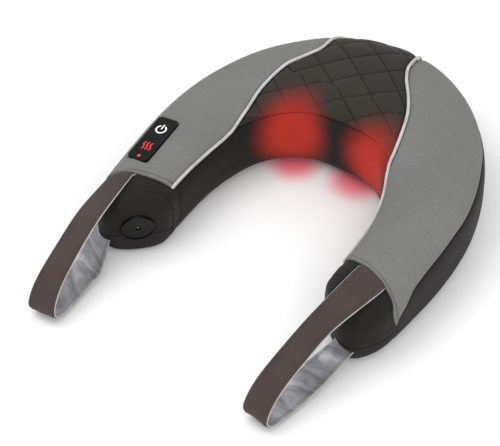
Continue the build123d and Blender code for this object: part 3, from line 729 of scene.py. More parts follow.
def metal(name, colour, roughness=0.3, turned=True):
    """Turned or drawn metal: fine tool lines, stains and uneven polish."""
    look = Finish(name, roughness, Metallic=1.0)
    lines = look.wave(1400.0, direction="Z" if turned else "X", distortion=2.0)
    stain = look.noise(180.0, 4.0, 0.65)
    base = np.array(linear(colour))
    look.colour(look.ramp(stain, [(0.25, tuple(base * 0.7)), (0.75, tuple(np.minimum(base * 1.15, 1.0)))]))
    look.rough(stain, roughness * 0.7, roughness * 1.4)
    look.bump((lines, 0.10, 0.05), (stain, 0.12, 0.08))
    return look


def sponge(name, dark, light, cell=1.4):
    """Open-cell foam or matted fibre: a pale body with its cells darkened as painted shade in the pores."""
    look = Finish(name, 0.95, Sheen_Weight=0.2)
    holes = look.cells(1000.0 / cell)
    broad = look.noise(40.0, 3.0)
    tone = look.maths("MULTIPLY_ADD", holes, 0.9, look.maths("MULTIPLY", broad, 0.3))
    # painted shade: darker at the cells' middles, in the pores
    look.colour(look.ramp(tone, [(0.2, linear(dark)), (0.6, linear(light))]))
    look.bump((holes, 0.8, 0.9), (broad, 0.4, 1.5))
    return look


def circuit(name):
    """Circuit board: green lacquer with paler copper tracks and solder specks."""
    look = Finish(name, 0.35, Coat_Weight=0.6, Coat_Roughness=0.12)
    tracks = look.wave(260.0, look.place(turn=(0.0, 0.0, 0.6)), "X", "SAW", 4.0)
    dots = look.cells(330.0)
    tone = look.ramp(tracks, [(0.46, linear((14, 62, 34))), (0.54, linear((34, 104, 58)))])
    solder = look.ramp(dots, [(0.12, (1.0, 1.0, 1.0)), (0.16, (0.0, 0.0, 0.0))])
    look.colour(look.blend(solder, tone, linear((186, 186, 176))))
    look.bump((tracks, 0.3, 0.06), (dots, 0.2, 0.2))
    return look


def glossy(name, colour):
    """Gloss-black touch surface: clear coat, faint smears and dust, barely wavy."""
    look = Finish(name, 0.3, Coat_Weight=0.1, Coat_Roughness=0.06, Specular_IOR_Level=0.12)
    smear = look.noise(48.0, 5.0, 0.7, look.place(scale=(1.0, 2.4, 1.0)))
    dust = look.noise(2400.0, 1.0)
    base = np.array(linear(colour))
    look.colour(look.ramp(smear, [(0.3, tuple(base * 0.8)), (0.75, tuple(base * 1.35))]))
    look.rough(smear, 0.22, 0.4)
    look.bump((smear, 0.05, 0.1), (dust, 0.03, 0.02))
    return look


def lamp_glass(name, colour, strength):
    """Lit or tinted lens: coloured body with a mild glow, brighter cells where the light sits."""
    look = Finish(name, 0.2, Coat_Weight=0.8, Coat_Roughness=0.05)
    cell = look.noise(500.0, 2.0)
    base = np.array(linear(colour))
    look.colour(look.ramp(cell, [(0.3, tuple(base * 0.7)), (0.7, tuple(base))]))
    look.join(look.ramp(cell, [(0.3, tuple(base * 0.6)), (0.7, tuple(base))]),
              look.shader.inputs["Emission Color"])
    look.shader.inputs["Emission Strength"].default_value = strength
    look.bump((cell, 0.1, 0.05))
    return look


def printed(name, colour, strength):
    """Screen-printed mark: slightly uneven ink, faintly lit from behind."""
    look = Finish(name, 0.5)
    ink = look.noise(1500.0, 3.0)
    base = np.array(linear(colour))
    look.colour(look.ramp(ink, [(0.25, tuple(base * 0.82)), (0.7, tuple(base))]))
    look.join(look.ramp(ink, [(0.25, tuple(base * 0.8)), (0.7, tuple(base))]),
              look.shader.inputs["Emission Color"])
    look.shader.inputs["Emission Strength"].default_value = strength
    look.bump((ink, 0.2, 0.03))
    return look


def corded(name, dark, light):
    """Satin piping: a fine slanting rib on its UV map with soft stains."""
    look = Finish(name, 0.45, Sheen_Weight=0.2, Specular_IOR_Level=0.45)
    rib = look.wave(260.0, look.place(uv=True, turn=(0.0, 0.0, 0.5)), "X")
    stain = look.noise(60.0, 4.0, 0.6)
    tone = look.maths("MULTIPLY_ADD", rib, 0.25, look.maths("MULTIPLY", stain, 0.75))
    look.colour(look.ramp(tone, [(0.25, linear(dark)), (0.65, linear(light))]))
    look.rough(stain, 0.38, 0.55)
    look.bump((rib, 0.35, 0.15), (stain, 0.1, 0.3))
    return look


# ================================================================ settings
def colour_setting(name, description, default):
    """Setting for a colour, given as on the screen."""
    return FloatVectorProperty(name=name, description=description, default=linear(default), size=3,
                               min=0.0, max=1.0, subtype="COLOR")


def length_setting(name, description, default):
    """Setting for a length, given in millimetres."""
    return FloatProperty(name=name, description=description, default=default * MM, min=0.0,
                         unit="LENGTH", subtype="DISTANCE")


class CoverSettings(bpy.types.PropertyGroup):
    """Sizes of the sewn cover."""
    piping: length_setting("Piping", "Radius of the piping cord", 1.9)
    quilt: length_setting("Quilting", "Distance between the quilting lines", 33.0)
    puff: length_setting("Puff", "Most that the filling may push the quilted panel out", 2.6)


class StrapSettings(bpy.types.PropertyGroup):
    """Sizes of the hand straps."""
    width: length_setting("Width", "Width of the webbing", 34.0)
    webbing: length_setting("Webbing", "Thickness of the webbing", 2.0)
    lining: length_setting("Lining", "Thickness of the lining", 1.0)


class GlowSettings(bpy.types.PropertyGroup):
    """Warm light behind the fabric."""
    colour: colour_setting("Colour", "Colour of the light through the fabric", (206, 58, 42))
    core: length_setting("Core", "Radius in which the light is full", 8.0)
    reach: length_setting("Reach", "Radius at which the light has faded", 56.0)
    strength: FloatProperty(name="Strength", description="Strength of the light", default=0.55, min=0.0)


class StageSettings(bpy.types.PropertyGroup):
    """Camera and light."""
    distance: FloatProperty(name="Distance", description="Camera distance", default=3.0, unit="LENGTH")
    azimuth: FloatProperty(name="Azimuth", description="Camera turned round from the front",
                           default=math.radians(31.0), subtype="ANGLE")
    elevation: FloatProperty(name="Elevation", description="Camera above the floor's plane",
                             default=math.radians(44.65), subtype="ANGLE")
    lens: FloatProperty(name="Lens", description="Focal length in millimetres", default=187.9)


def settings():
    """The four groups of settings."""
    scene = bpy.context.scene
    return scene.massager_cover, scene.massager_strap, scene.massager_glow, scene.massager_stage


LOOKS = {}


def look(name, maker, *values, **more):
    """A material made once and shared by like pieces."""
    if name not in LOOKS:
        LOOKS[name] = maker(name, *values, **more)
    return LOOKS[name]


def fabric_looks(name):
    """The fabrics of the cover."""
    makers = {
        "grey_neoprene": lambda: knit(name, (104, 104, 102), (124, 124, 122), 0.8, 0.06, crease=0.6),
        "black_quilt": lambda: knit(name, (40, 38, 33), (54, 51, 45), 1.0, 0.1, glow=settings()[2]),
        "black_stretch": lambda: knit(name, (24, 24, 22), (34, 34, 31), 0.8, 0.06, glow=settings()[2]),
        "black_end_fabric": lambda: knit(name, (24, 23, 22), (36, 34, 32), 0.8, 0.08),
        "dark_band": lambda: woven(name, (19, 15, 15), (31, 26, 26), 0.9, sheen=0.0),
        "base_fabric": lambda: woven(name, (30, 29, 29), (44, 42, 41), 1.4),
        "pale_piping": lambda: corded(name, (158, 155, 154), (200, 197, 196)),
        "brown_webbing": lambda: woven(name, (54, 43, 41), (76, 62, 60), 1.3, 0.8, 0.06),
        "silver_lining": lambda: satin(name),
        "pale_binding": lambda: corded(name, (134, 133, 132), (182, 181, 179)),
        "dark_thread": lambda: corded(name, (16, 13, 13), (30, 25, 25)),
        "grey_thread": lambda: corded(name, (70, 72, 71), (94, 96, 95)),
        "white_ink": lambda: printed(name, (235, 233, 228), 0.35),
        "red_ink": lambda: printed(name, (214, 40, 34), 0.55),
    }
    return look(name, lambda _: makers[name]())


# ================================================================ covers
def edge_gaps(points):
    """Distance in millimetres from each of the four edges of a grid, measured over its surface."""
    run, whole = lengths(points)
    turned = np.moveaxis(points, 0, 1)
    down, height = lengths(turned)
    down = np.moveaxis(down, 0, 1)
    return run, whole - run, down, height[:, 0][None, :] - down


PANEL_PRESSURE, PANEL_PUFF = 5.0, 2.6    # of a grey panel's filling, and most that it rises
PAD_HOLD = 5.0               # the fabric is held this far round the touch pad
PAD_SINK = 0.9               # and lies this deep under it
HEM_GROOVE = 5.0             # from a hem's edge to the sewn groove
QUILT_PRESSURE = 6.0
QUILT_HOLD = 1.5             # the quilting holds the fabric this far to each side of its lines


def grey_surface(side, rows, shares):
    """Grid over an arm: rows are nominal places, columns run from the piping seam to the hem."""
    start = edge_station(SEAM[side], side, rows) + SEAM_ROOM
    finish = edge_station(HEM[side], side, rows)
    t = side * (start[:, None] + (finish - start)[:, None] * shares[None, :])
    angle = real_angle(t, rows[:, None] + 0.0 * t)
    return skin(t, angle), skin(t, angle, BELOW)


def along_edges(points):
    """True for the outermost points of a grid."""
    held = np.ones(points.shape[:2], bool)
    held[1:-1, 1:-1] = False
    return held


def pad_gap(points):
    """Distance outside the touch pad's outline, in the pad's own plane; negative inside it."""
    middle, along, across, _ = pad_axes()
    x = np.abs((points - middle) @ along) - PAD_L / 2
    y = np.abs((points - middle) @ across) - PAD_W / 2
    return np.maximum(x, y)


def grey_panel(side, name):
    """Grey neoprene panel: swollen by its filling, drawn in along the piping and the band, with a
    raised, rounded hem and a sewn groove inside it. The left one is let in round the touch pad."""
    shares = eased(130)
    base, below = grey_surface(side, ROWS, shares)
    seam, hem, low, high = edge_gaps(base)
    up = normals(base, below)
    rise = 0.8 - pull(seam, 5.0, 2.0) - pull(low, 4.0, 1.1) - pull(high, 5.0, 1.6)
    rise += 0.7 * np.exp(-(hem / 9.0)**2) - 1.0 * np.exp(-((hem - HEM_GROOVE) / 1.1)**2)
    rise += 0.35 * ripple(base, 90.0, 11 + side) * np.clip(np.minimum(seam, low) / 20.0, 0.0, 1.0)
    rise += 0.25 * ripple(base, 26.0, 21 + side) * (np.exp(-(hem / 16.0)) + np.exp(-(high / 14.0)))
    # marks: distance for the painted crease shade along the piping seam, the band edge and the hem's groove
    marks = np.minimum(np.minimum(seam, low), np.abs(hem - HEM_GROOVE) + 0.7)
    rough_rows = np.linspace(0, len(ROWS) - 1, 44).astype(int)
    plain, under = grey_surface(side, ROWS[rough_rows], np.linspace(0.0, 1.0, 56))
    pinned = along_edges(plain)
    if side < 0:
        pinned |= pad_gap(plain) < PAD_HOLD
    blown = swell(plain, under, pinned, PANEL_PRESSURE, PANEL_PUFF)
    rise += spread(blown, shares)
    if side < 0:
        away = pad_gap(base)
        outside = np.clip((away - 0.5) / 12.0, 0.0, 1.0)
        rise = np.where(away > 0.5, rise * outside**0.7, -PAD_SINK)
        # and for painted shade in the recess round the touch pad
        marks = np.minimum(marks, np.maximum(away, 0.0) + 0.6)
    edge = np.minimum.reduce([seam, hem, low, high])
    outer = base + up * (rise - corner_round(edge, 1.4))[..., None]
    inner = base + up * (np.minimum(rise, 1.0) - COVER)[..., None]
    return shell(name, outer, inner, marks=marks)


def quilt_surface(rows, shares):
    """Grid over the middle between the two piping seams; its lower edge dips in an arc."""
    left = -edge_station(SEAM[-1], -1, rows) + SEAM_ROOM
    right = edge_station(SEAM[1], 1, rows) - SEAM_ROOM
    t = left[:, None] + (right - left)[:, None] * shares[None, :]
    dip = arc_dip(t) * ((rows[:, None] - LOW) / (HIGH - LOW))**4
    angle = unruler(ruler(real_angle(t, rows[:, None] + 0.0 * t)) + dip)
    return skin(t, angle), skin(t, angle, BELOW)


def arc_dip(t):
    """How much lower the arc seam runs than the seams' lower ends: most at the middle."""
    reach = np.where(t < 0, SEAM[-1][-1][1], SEAM[1][-1][1])
    return ARC_DROP * np.clip(1.0 - (t / reach)**2, 0.0, 1.0)


def quilt_gap(points, pitch):
    """Distance to the nearest quilting line: two families of slanted lines on the unrolled panel."""
    crown = 102.0 - points[..., 2]
    level = points[..., 1] + np.where(points[..., 1] > 150.0, 0.9, -0.6) * crown
    first = (0.63 * points[..., 0] + 0.78 * level - 99.0) / pitch
    second = (0.69 * points[..., 0] - 0.72 * level + 107.0) / pitch
    return np.minimum(np.abs(first - np.round(first)), np.abs(second - np.round(second))) * pitch


def quilted_panel(cover):
    """Quilted panel over the heads: puffs between its quilting lines, held down along them."""
    shares = eased(160)
    base, below = quilt_surface(ROWS, shares)
    left, right, low, high = edge_gaps(base)
    pitch = cover.quilt / MM
    crease = quilt_gap(base, pitch)
    up = normals(base, below)
    edge = np.minimum.reduce([left, right, low, high])
    rise = 0.5 - pull(edge, 5.0, 1.9) - 1.0 * np.exp(-(crease / 1.5)**1.4)
    rise += 0.7 * (1.0 - np.exp(-(crease / 8.0)**2)) * np.clip(edge / 12.0, 0.0, 1.0)
    rough_rows = np.linspace(0, len(ROWS) - 1, 84).astype(int)
    plain, under = quilt_surface(ROWS[rough_rows], np.linspace(0.0, 1.0, 104))
    pinned = along_edges(plain) | (quilt_gap(plain, pitch) < QUILT_HOLD)
    blown = swell(plain, under, pinned, QUILT_PRESSURE, cover.puff / MM)
    rise += spread(blown, shares)
    outer = base + up * (rise - corner_round(edge, 1.2))[..., None]
    inner = base + up * (np.minimum(rise, 0.5) - COVER)[..., None]
    # marks: distance for painted crease shade along the quilting lines and the panel's edges
    return shell("quilted_panel", outer, inner, marks=np.minimum(crease, edge * 0.7))


def station_grid(first, last, at_angle, count, low, high, rows):
    """Stations evenly far apart at one angle, crossed with nominal places between two."""
    fine = np.linspace(first, last, 2001)
    t = even_steps(skin(fine, np.full(2001, at_angle)), fine, count)
    return np.meshgrid(t, low + (high - low) * eased(rows))


def inner_wall():
    """Smooth wall on the neck side, from the arc seam and the panels' inner edges down to the foot."""
    t, rows = station_grid(*WALL_ENDS, 180.0, 230, HIGH, END, 60)
    fade = (END - rows) / (END - HIGH)
    angle = unruler(ruler(real_angle(t, rows)) + (arc_dip(t) + 0.5) * fade**2)
    base, below = skin(t, angle), skin(t, angle, BELOW)
    left, right, top, foot = edge_gaps(base)
    up = normals(base, below)
    edge = np.minimum.reduce([left, right, top, foot])
    rise = 0.2 - pull(top, 4.0, 1.7) - pull(np.minimum(left, right), 3.0, 0.4)
    rise += 0.4 * ripple(base, 70.0, 5) * np.clip(edge / 15.0, 0.0, 1.0)
    outer = base + up * (rise - corner_round(edge, 1.0))[..., None]
    outer[..., 2] = np.maximum(outer[..., 2], 0.0)
    # marks: distance for painted crease shade below the top seam and at the wall's ends
    return shell("inner_wall", outer, skin(t, angle, COVER), marks=np.minimum(top, np.minimum(left, right)))


def side_band():
    """Dark woven band round the outside, from the foot up to the panels."""
    t, rows = station_grid(*BAND_ENDS, 0.0, 270, FOOT, LOW, 44)
    angle = unruler(ruler(real_angle(t, rows)) - 0.5 * (rows - FOOT) / (LOW - FOOT))
    base, below = skin(t, angle), skin(t, angle, BELOW)
    left, right, foot, top = edge_gaps(base)
    up = normals(base, below)
    edge = np.minimum.reduce([left, right, top, foot])
    rise = 0.2 - pull(top, 3.0, 0.7)
    rise += 0.25 * ripple(base, 80.0, 9) * np.clip(np.minimum(top, foot) / 10.0, 0.0, 1.0)
    outer = base + up * (rise - corner_round(edge, 1.0))[..., None]
    outer[..., 2] = np.maximum(outer[..., 2], 0.0)
    return shell("side_band", outer, skin(t, angle, COVER))


def base_sheet():
    """Flat underside between the two feet."""
    t, rows = station_grid(-0.84, 0.84, 250.0, 200, FOOT_IN, 360.0 + FOOT_OUT, 24)
    outer = skin(t, rows, 0.4)
    outer[..., 2] = 0.15
    return shell("base_sheet", outer, outer + np.array([0.0, 0.0, COVER]))


END_FIRST = 0.77             # an end piece starts at this station, under the hem
END_SINK = 1.6               # and lies there this deep under the surface


def end_rings(first, count):
    """Stations, shrinks and pasts from under the hem to the very end of an arm."""
    turn = np.radians(90.0 * np.linspace(0.0, 1.0, count)**0.8)
    t = np.concatenate([np.linspace(first, 1.0, 60), np.ones(count - 1)])
    shrink = np.concatenate([np.ones(60), np.maximum(np.cos(turn[1:]), 0.0)**0.6])
    past = np.concatenate([np.zeros(60), END_DEPTH * np.sin(turn[1:])])
    return t, shrink, past


def cover_end(side, angle):
    """Station where the piece over an arm's end stops, and over how many stations the end piece
    rises to the surface beside it: slowly from under a hem, at once beside a flat seam."""
    angles, stations = np.transpose(HEM[side])
    hem = smooth(np.clip(ruler(angle), *ruler(angles[[0, -1]])), ruler(angles), stations)
    wall = np.where(angle < 90.0, BAND_ENDS[1], np.abs(WALL_ENDS[0 if side < 0 else 1]))
    low, high = edge_places(side * hem)
    above = np.clip((ruler(angle) - low + 6.0) / 12.0, 0.0, 1.0)
    short = np.clip((high + 6.0 - ruler(angle)) / 12.0, 0.0, 1.0)
    return wall + (hem - wall) * above * short, 0.006 + 0.06 * above * short


def beside_socket(points):
    """Lets the left end in round the power socket: flat behind its bezel, a soft lip round it."""
    middle, out = socket_axes()
    offset = points - middle
    height = offset @ out
    apart = np.linalg.norm(offset - height[..., None] * out, axis=-1)
    near = np.clip((SOCKET_R + 13.0 - apart) / 12.0, 0.0, 1.0)
    near = near * near * (3.0 - 2.0 * near)
    lip = 0.5 - 0.03 * np.maximum(apart - SOCKET_R - 2.0, 0.0)**1.5
    target = np.where(apart < SOCKET_R + 0.4, -1.6, lip)
    front = np.clip((height + 14.0) / 6.0, 0.0, 1.0)
    return points + out * (np.clip(target - height, -12.0, 0.0) * near * front)[..., None]


def end_piece(side, name, low, high):
    """Part of an arm's rounded end between two angles. Under the grey hem it lies sunk below it;
    gentle folds run over it, fading out near its top and foot edges and towards the tip."""
    t, shrink, past = end_rings(END_FIRST, 30)
    rows = unruler(ruler(low) + (ruler(high) - ruler(low)) * eased(90))
    t, a = np.meshgrid(t, rows)
    shrink, past = shrink[None, :] + 0.0 * a, past[None, :] + 0.0 * a
    base = skin(side * t, a, 0.0, shrink, side * past)
    inner = skin(side * t, a, COVER + 2.0, shrink, side * np.maximum(past - COVER * past / END_DEPTH, 0.0))
    _, _, foot, top = edge_gaps(base)
    edge = np.minimum(foot, top)
    stop, reach = cover_end(side, a)
    under = np.clip((stop + reach - t) / reach, 0.0, 1.0)
    under = END_SINK * (0.2 + 10.0 * reach) * under * under * (3.0 - 2.0 * under)
    rise = 0.2 - under - pull(edge, 2.5, 0.5)
    fade = np.clip(edge / 9.0, 0.0, 1.0) * np.clip(shrink, 0.0, 1.0)
    rise += (0.5 * ripple(base, 48.0, 31 + side) + 0.25 * ripple(base, 19.0, 41 + side)) * fade
    up = normals(base, inner)
    up[:, -1] = np.append(side * heading(np.array(side * 1.0)), 0.0)
    outer = base + up * rise[..., None]
    outer[:, -1] = base[:, -1] + up[:, -1] * 0.2
    if side < 0:
        moved = beside_socket(outer) - outer
        outer, inner = outer + moved, inner + moved
    outer[..., 2] = np.maximum(outer[..., 2], 0.0)
    # marks: distance for painted crease shade along its top and foot edges
    return shell(name, outer, inner, ends=(True, False), marks=edge)


def seam_path(side, count, lift):
    """Line of the piping: along the seam, then along the panel's inner edge to the hem."""
    seam = edge_station(SEAM[side], side, ROWS)
    last = edge_station(HEM[side], side, HIGH) - 0.001
    edge = np.linspace(seam[-1], last, 60)[1:]
    stations = side * np.concatenate([seam, edge])
    rows = np.concatenate([ROWS, np.full(len(edge), HIGH)])
    line = skin(stations, real_angle(stations, rows), -lift)
    up = line - skin(stations, real_angle(stations, rows), 8.0)
    places = np.arange(len(line), dtype=float)
    at = even_steps(line, places, count)
    line, up = [np.stack([np.interp(at, places, v[:, k]) for k in range(3)], -1) for v in (line, up)]
    for _ in range(12):
        line[1:-1] = 0.25 * line[:-2] + 0.5 * line[1:-1] + 0.25 * line[2:]
    return line, up


def hem_line(side, inset):
    """Line inside a hem, at a distance from it, lying on the panel."""
    base, below = grey_surface(side, ROWS[2:-2], eased(130))
    run, whole = lengths(base)
    at = whole[:, 0] - inset
    out = base - below
    line, up = [np.stack([[np.interp(a, run[i], v[i, :, k]) for i, a in enumerate(at)] for k in range(3)], -1)
                for v in (base, out)]
    return line, up / np.linalg.norm(up, axis=1, keepdims=True)


# ================================================================ hand straps
LOOP_LINE = [(78.0, 71.5), (105.0, 63.0), (130.0, 54.5), (152.0, 45.5), (169.0, 36.0), (181.0, 24.5),
             (184.5, 15.0), (179.0, 8.5), (166.0, 6.0), (140.0, 6.0), (116.0, 8.0), (95.0, 11.5)]
STRAP_PIVOT = 74.0           # the straps lean about this height
STRAP_SLOPE = 0.14
UNDER_HEM = [(-0.02, 2.4), (-0.004, 1.6), (0.02, -0.5), (0.05, -2.4)]   # (stations past the hem, depth)
STRAP_ROWS = 190             # rows along a strap, from under the hem and back
SETTLE_ROWS, SETTLE_ROUNDS = 80, 90      # how many rows from the hem are smoothed, and how often
# The straps' own places; end and tuck are the two corners of the lower run at and inside the arm's end.
STRAPS = {
    "left": {"side": -1, "x": -166.0, "y": -73.0, "turn": 0.0, "roll": 20.0, "low": 85.0, "high": 46.0,
             "end": [(-161.0, -113.0, 23.0), (-184.0, -95.0, 27.0)],
             "tuck": [(-152.0, -104.0, 25.0), (-174.0, -86.0, 29.0)]},
    "right": {"side": 1, "x": 154.0, "y": -79.0, "turn": -12.0, "roll": 8.0, "low": 73.0, "high": 101.0,
              "end": [(168.0, -109.0, 25.0), (143.0, -120.0, 25.0)],
              "tuck": [(162.0, -97.0, 27.0), (139.0, -106.0, 26.0)]},
}


def strap_point(strap, distance, height, across):
    """Point of a strap: out from the hem, up, and across towards -X, the whole leaning over."""
    turn, lean = math.radians(strap["turn"]), math.radians(strap["roll"])
    lean *= np.clip((height - 2.0) / 60.0, 0.15, 1.0)
    up = height - across * math.sin(lean)
    over = across * math.cos(lean) + (height - STRAP_PIVOT) * STRAP_SLOPE
    away = np.array([math.sin(turn), -math.cos(turn)])
    return np.array([strap["x"] + away[0] * distance - over * math.cos(turn),
                     strap["y"] + away[1] * distance - over * math.sin(turn), up])


def strap_grid(strap, width):
    """Middle surface of a strap: from under the hem, over the arm's end, out, round the tight tip
    and back below."""
    across = np.linspace(-0.5, 0.5, 15)
    side = strap["side"]
    rows = []
    angle = unruler(ruler(strap["low"]) + (ruler(strap["high"]) - ruler(strap["low"])) * (across + 0.5))
    hem = cover_end(side, angle)[0]
    for beyond, depth in UNDER_HEM:
        rows.append(skin(side * (hem + beyond), angle, depth))
    for distance, height in LOOP_LINE:
        rows.append(np.array([strap_point(strap, distance, height, v * width) for v in across]))
    for edge in ("end", "tuck"):
        a, b = [np.array(p) for p in strap[edge]]
        rows.append(a + (b - a) * (across + 0.5)[:, None])
    grid = even_flow(np.array(rows), STRAP_ROWS)
    number = np.arange(1, STRAP_ROWS - 1)[:, None, None]
    settle = np.clip((number - 6.0) / 10.0, 0.0, 1.0) * 0.5 * (number < SETTLE_ROWS)
    for _ in range(SETTLE_ROUNDS):
        grid[1:-1] += settle * (0.5 * (grid[:-2] + grid[2:]) - grid[1:-1])
    return grid


def strap_pieces(name, strap, sizes):
    """Webbing outside, satin lining inside, pale binding on both edges and two rows of stitches."""
    width, webbing, lining = sizes.width / MM, sizes.webbing / MM, sizes.lining / MM
    middle = strap_grid(strap, width)
    run = lengths(np.moveaxis(middle, 0, 1))[0].mean(0)
    share = run / run[-1]
    hollow = middle.mean(axis=(0, 1)) + np.array([0.0, 0.0, -6.0])
    away = normals(middle, hollow)
    crumple = np.clip((share - 0.52) / 0.08, 0.0, 1.0) * np.clip((0.97 - share) / 0.05, 0.0, 1.0)
    across = np.linspace(-1.0, 1.0, middle.shape[1])
    wave = ripple(middle, 30.0, 51 + strap["side"]) * crumple[:, None] * (1.0 - 0.5 * across[None, :]**2)
    middle = middle + away * (0.9 * wave)[..., None]
    edge = (1.0 - np.abs(across)) * width / 2
    soft = corner_round(edge, 0.8)[None, :, None]
    outer = middle + away * (webbing - soft)
    web = shell(f"{name}_strap_webbing", outer, middle + away * 0.05)
    wide = middle.mean(1, keepdims=True) + (middle - middle.mean(1, keepdims=True)) * 1.03
    fold = 0.35 * ripple(wide, 13.0, 61 + strap["side"]) * crumple[:, None]
    satin_out = wide - away * (lining - fold[..., None] * np.clip(edge / 6.0, 0.0, 1.0)[None, :, None])
    liner = shell(f"{name}_strap_lining_cloth", wide - away * 0.05, satin_out)
    pieces = [(web, "brown_webbing", "brown_webbing"), (liner, "silver_lining", "silver_lining")]
    for index, label in ((0, "inner"), (-1, "outer")):
        rim = tube(f"{name}_strap_binding_{label}", wide[:, index] - away[:, index] * 0.2, away[:, index], 0.75)
        pieces.append((rim, "pale_binding", "silver_lining"))
    for inset, label in ((1, "near"), (-2, "far")):
        line = (outer[:, inset] + outer[:, inset + (1 if inset > 0 else -1)]) / 2
        row = stitches(f"{name}_strap_stitches_{label}", line[3:-14], away[3:-14, inset], 2.8, 0.7, 0.42)
        pieces.append((row, "dark_thread", "brown_webbing"))
        low = (satin_out[:, inset] + satin_out[:, inset + (1 if inset > 0 else -1)]) / 2
        row = stitches(f"{name}_lining_stitches_{label}", low[70:-14], -away[70:-14, inset], 2.8, 0.7, 0.34)
        pieces.append((row, "dark_thread", "silver_lining"))
    return pieces


# ================================================================ touch pad and socket
PAD_T, PAD_A = -0.675, 76.0
PAD_L, PAD_W = 72.0, 27.0
POWER_X, HEAT_X = 17.0, -13.0
KEY_TOP = 1.0
INK = 0.12
SOCKET_R, SOCKET_DIP, SOCKET_RISE = 19.5, 7.0, 3.0


def pad_axes():
    """Middle of the touch pad and its directions: along the arm, across it, and out of it."""
    t, a = np.array(PAD_T), np.array(PAD_A)
    along = skin(t + 0.01, a) - skin(t - 0.01, a)
    across = skin(t, a + 2.0) - skin(t, a - 2.0)
    out = -np.cross(along, across)
    along, out = along / np.linalg.norm(along), out / np.linalg.norm(out)
    return skin(t, a), along, np.cross(out, along), out


def pad_line(x, y):
    """Points on the keys' top from pad coordinates."""
    middle, along, across, out = pad_axes()
    x, y = np.broadcast_arrays(np.asarray(x, float), np.asarray(y, float))
    return middle + along * x[:, None] + across * y[:, None] + out * (KEY_TOP + INK * 0.5)


def socket_axes():
    """Middle of the power socket's bezel and the direction that it faces."""
    ahead = -heading(np.array(-1.0))
    tip = centre(np.array(-1.0)) + ahead * END_DEPTH * 0.97
    dip = math.radians(SOCKET_DIP)
    out = np.array([ahead[0] * math.cos(dip), ahead[1] * math.cos(dip), -math.sin(dip)])
    return np.array([tip[0], tip[1], half_height(1.0) + SOCKET_RISE]), out


def power_mark():
    """Ring open at one side with a bar in the opening."""
    out = pad_axes()[3]
    turn = np.radians(np.linspace(32.0, 328.0, 60))
    ring = tube("power_mark_ring", pad_line(POWER_X + 5.9 * np.cos(turn), 5.9 * np.sin(turn)), out, 0.9, 0.3)
    bar = tube("power_mark_bar", pad_line(np.linspace(POWER_X + 0.8, POWER_X + 7.6, 12), 0.0), out, 0.9, 0.3)
    return [ring, bar]


def heat_marks():
    """Three wavy lines side by side."""
    out = pad_axes()[3]
    x = np.linspace(-5.6, 5.6, 40)
    waves = []
    for index in (-1, 0, 1):
        y = 4.5 * index + 1.2 * np.sin(x / 5.6 * np.pi)
        waves.append(tube(f"heat_mark_{index + 2}", pad_line(HEAT_X + x, y), out, 0.78, 0.3))
    return waves


# ================================================================ materials of the carried-over pieces
def hardware_looks(slot):
    """Finish of each CAD slot that is hard or hidden inside."""
    makers = {
        "fibre_filling": lambda: sponge(slot, (196, 194, 188), (232, 230, 226), 2.6),
        "foam": lambda: sponge(slot, (150, 140, 96), (206, 198, 158), 1.5),
        "gear_plastic": lambda: moulded(slot, (228, 224, 210), 0.42),
        "steel_shaft": lambda: metal(slot, (190, 192, 196), 0.22),
        "carrier_plastic": lambda: moulded(slot, (70, 72, 76), 0.5),
        "node_plastic": lambda: moulded(slot, (212, 186, 164), 0.36, coat=0.2),
        "zinc_screw": lambda: metal(slot, (178, 180, 182), 0.3, False),
        "circuit_board": lambda: circuit(slot),
        "worm_brass": lambda: metal(slot, (196, 160, 84), 0.3),
        "housing_plastic": lambda: moulded(slot, (58, 60, 64), 0.55, 1.4),
        "bronze_bush": lambda: metal(slot, (150, 112, 70), 0.45),
        "motor_steel": lambda: metal(slot, (168, 170, 174), 0.35),
        "red_lamp": lambda: lamp_glass(slot, (214, 44, 34), 0.6),
        "pad_gloss": lambda: glossy(slot, (8, 8, 8)),
        "key_gloss": lambda: glossy(slot, (8, 8, 8)),
        "socket_gloss": lambda: glossy(slot, (7, 7, 7)),
        "lead_jacket": lambda: moulded(slot, (34, 34, 36), 0.6, 2.0),
    }
    return look(slot, lambda _: makers[slot]()) if slot in makers else None


# ================================================================ operators
def done(thing, look_name, replaced=(), body="root"):
    """Finishes one piece on a body: its material, and the CAD nodes it stands for are hidden."""
    paint(thing, fabric_looks(look_name), body)
    if replaced:
        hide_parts(*replaced)
    return thing


class MASSAGER_OT_hardware(bpy.types.Operator):
    """Give every carried-over piece its own finish"""
    bl_idname = "massager.hardware"
    bl_label = "Hardware finishes"

    def execute(self, context):
        for entry in frame["record"]["subparts"]:
            slot = entry["material_slot"]
            finish = hardware_looks(slot) or fabric_looks(slot)
            mesh = frame["nodes"][entry["node"]].data
            mesh.materials.clear()
            mesh.materials.append(finish.material)
        return {"FINISHED"}


class MASSAGER_OT_grey_panels(bpy.types.Operator):
    """Make the grey panel over each arm, with its hem's stitches"""
    bl_idname = "massager.grey_panels"
    bl_label = "Grey panels"

    def execute(self, context):
        for side, name in ((-1, "left"), (1, "right")):
            done(grey_panel(side, f"{name}_panel"), "grey_neoprene",
                 [f"{name}_grey_panel"])
            for inset in (3.9, 5.9):
                line, up = hem_line(side, inset)
                row = stitches(f"{name}_hem_stitches_{int(inset)}", line + up * 0.75, up, 2.4, 1.2, 0.3)
                done(row, "grey_thread")
        return {"FINISHED"}


class MASSAGER_OT_quilted_panel(bpy.types.Operator):
    """Make the quilted panel over the massage heads"""
    bl_idname = "massager.quilted_panel"
    bl_label = "Quilted panel"

    def execute(self, context):
        done(quilted_panel(settings()[0]), "black_quilt", ["quilted_centre_panel"])
        return {"FINISHED"}


class MASSAGER_OT_inner_wall(bpy.types.Operator):
    """Make the smooth wall on the neck side"""
    bl_idname = "massager.inner_wall"
    bl_label = "Inner wall"

    def execute(self, context):
        done(inner_wall(), "black_stretch", ["inner_wall_cover"])
        return {"FINISHED"}


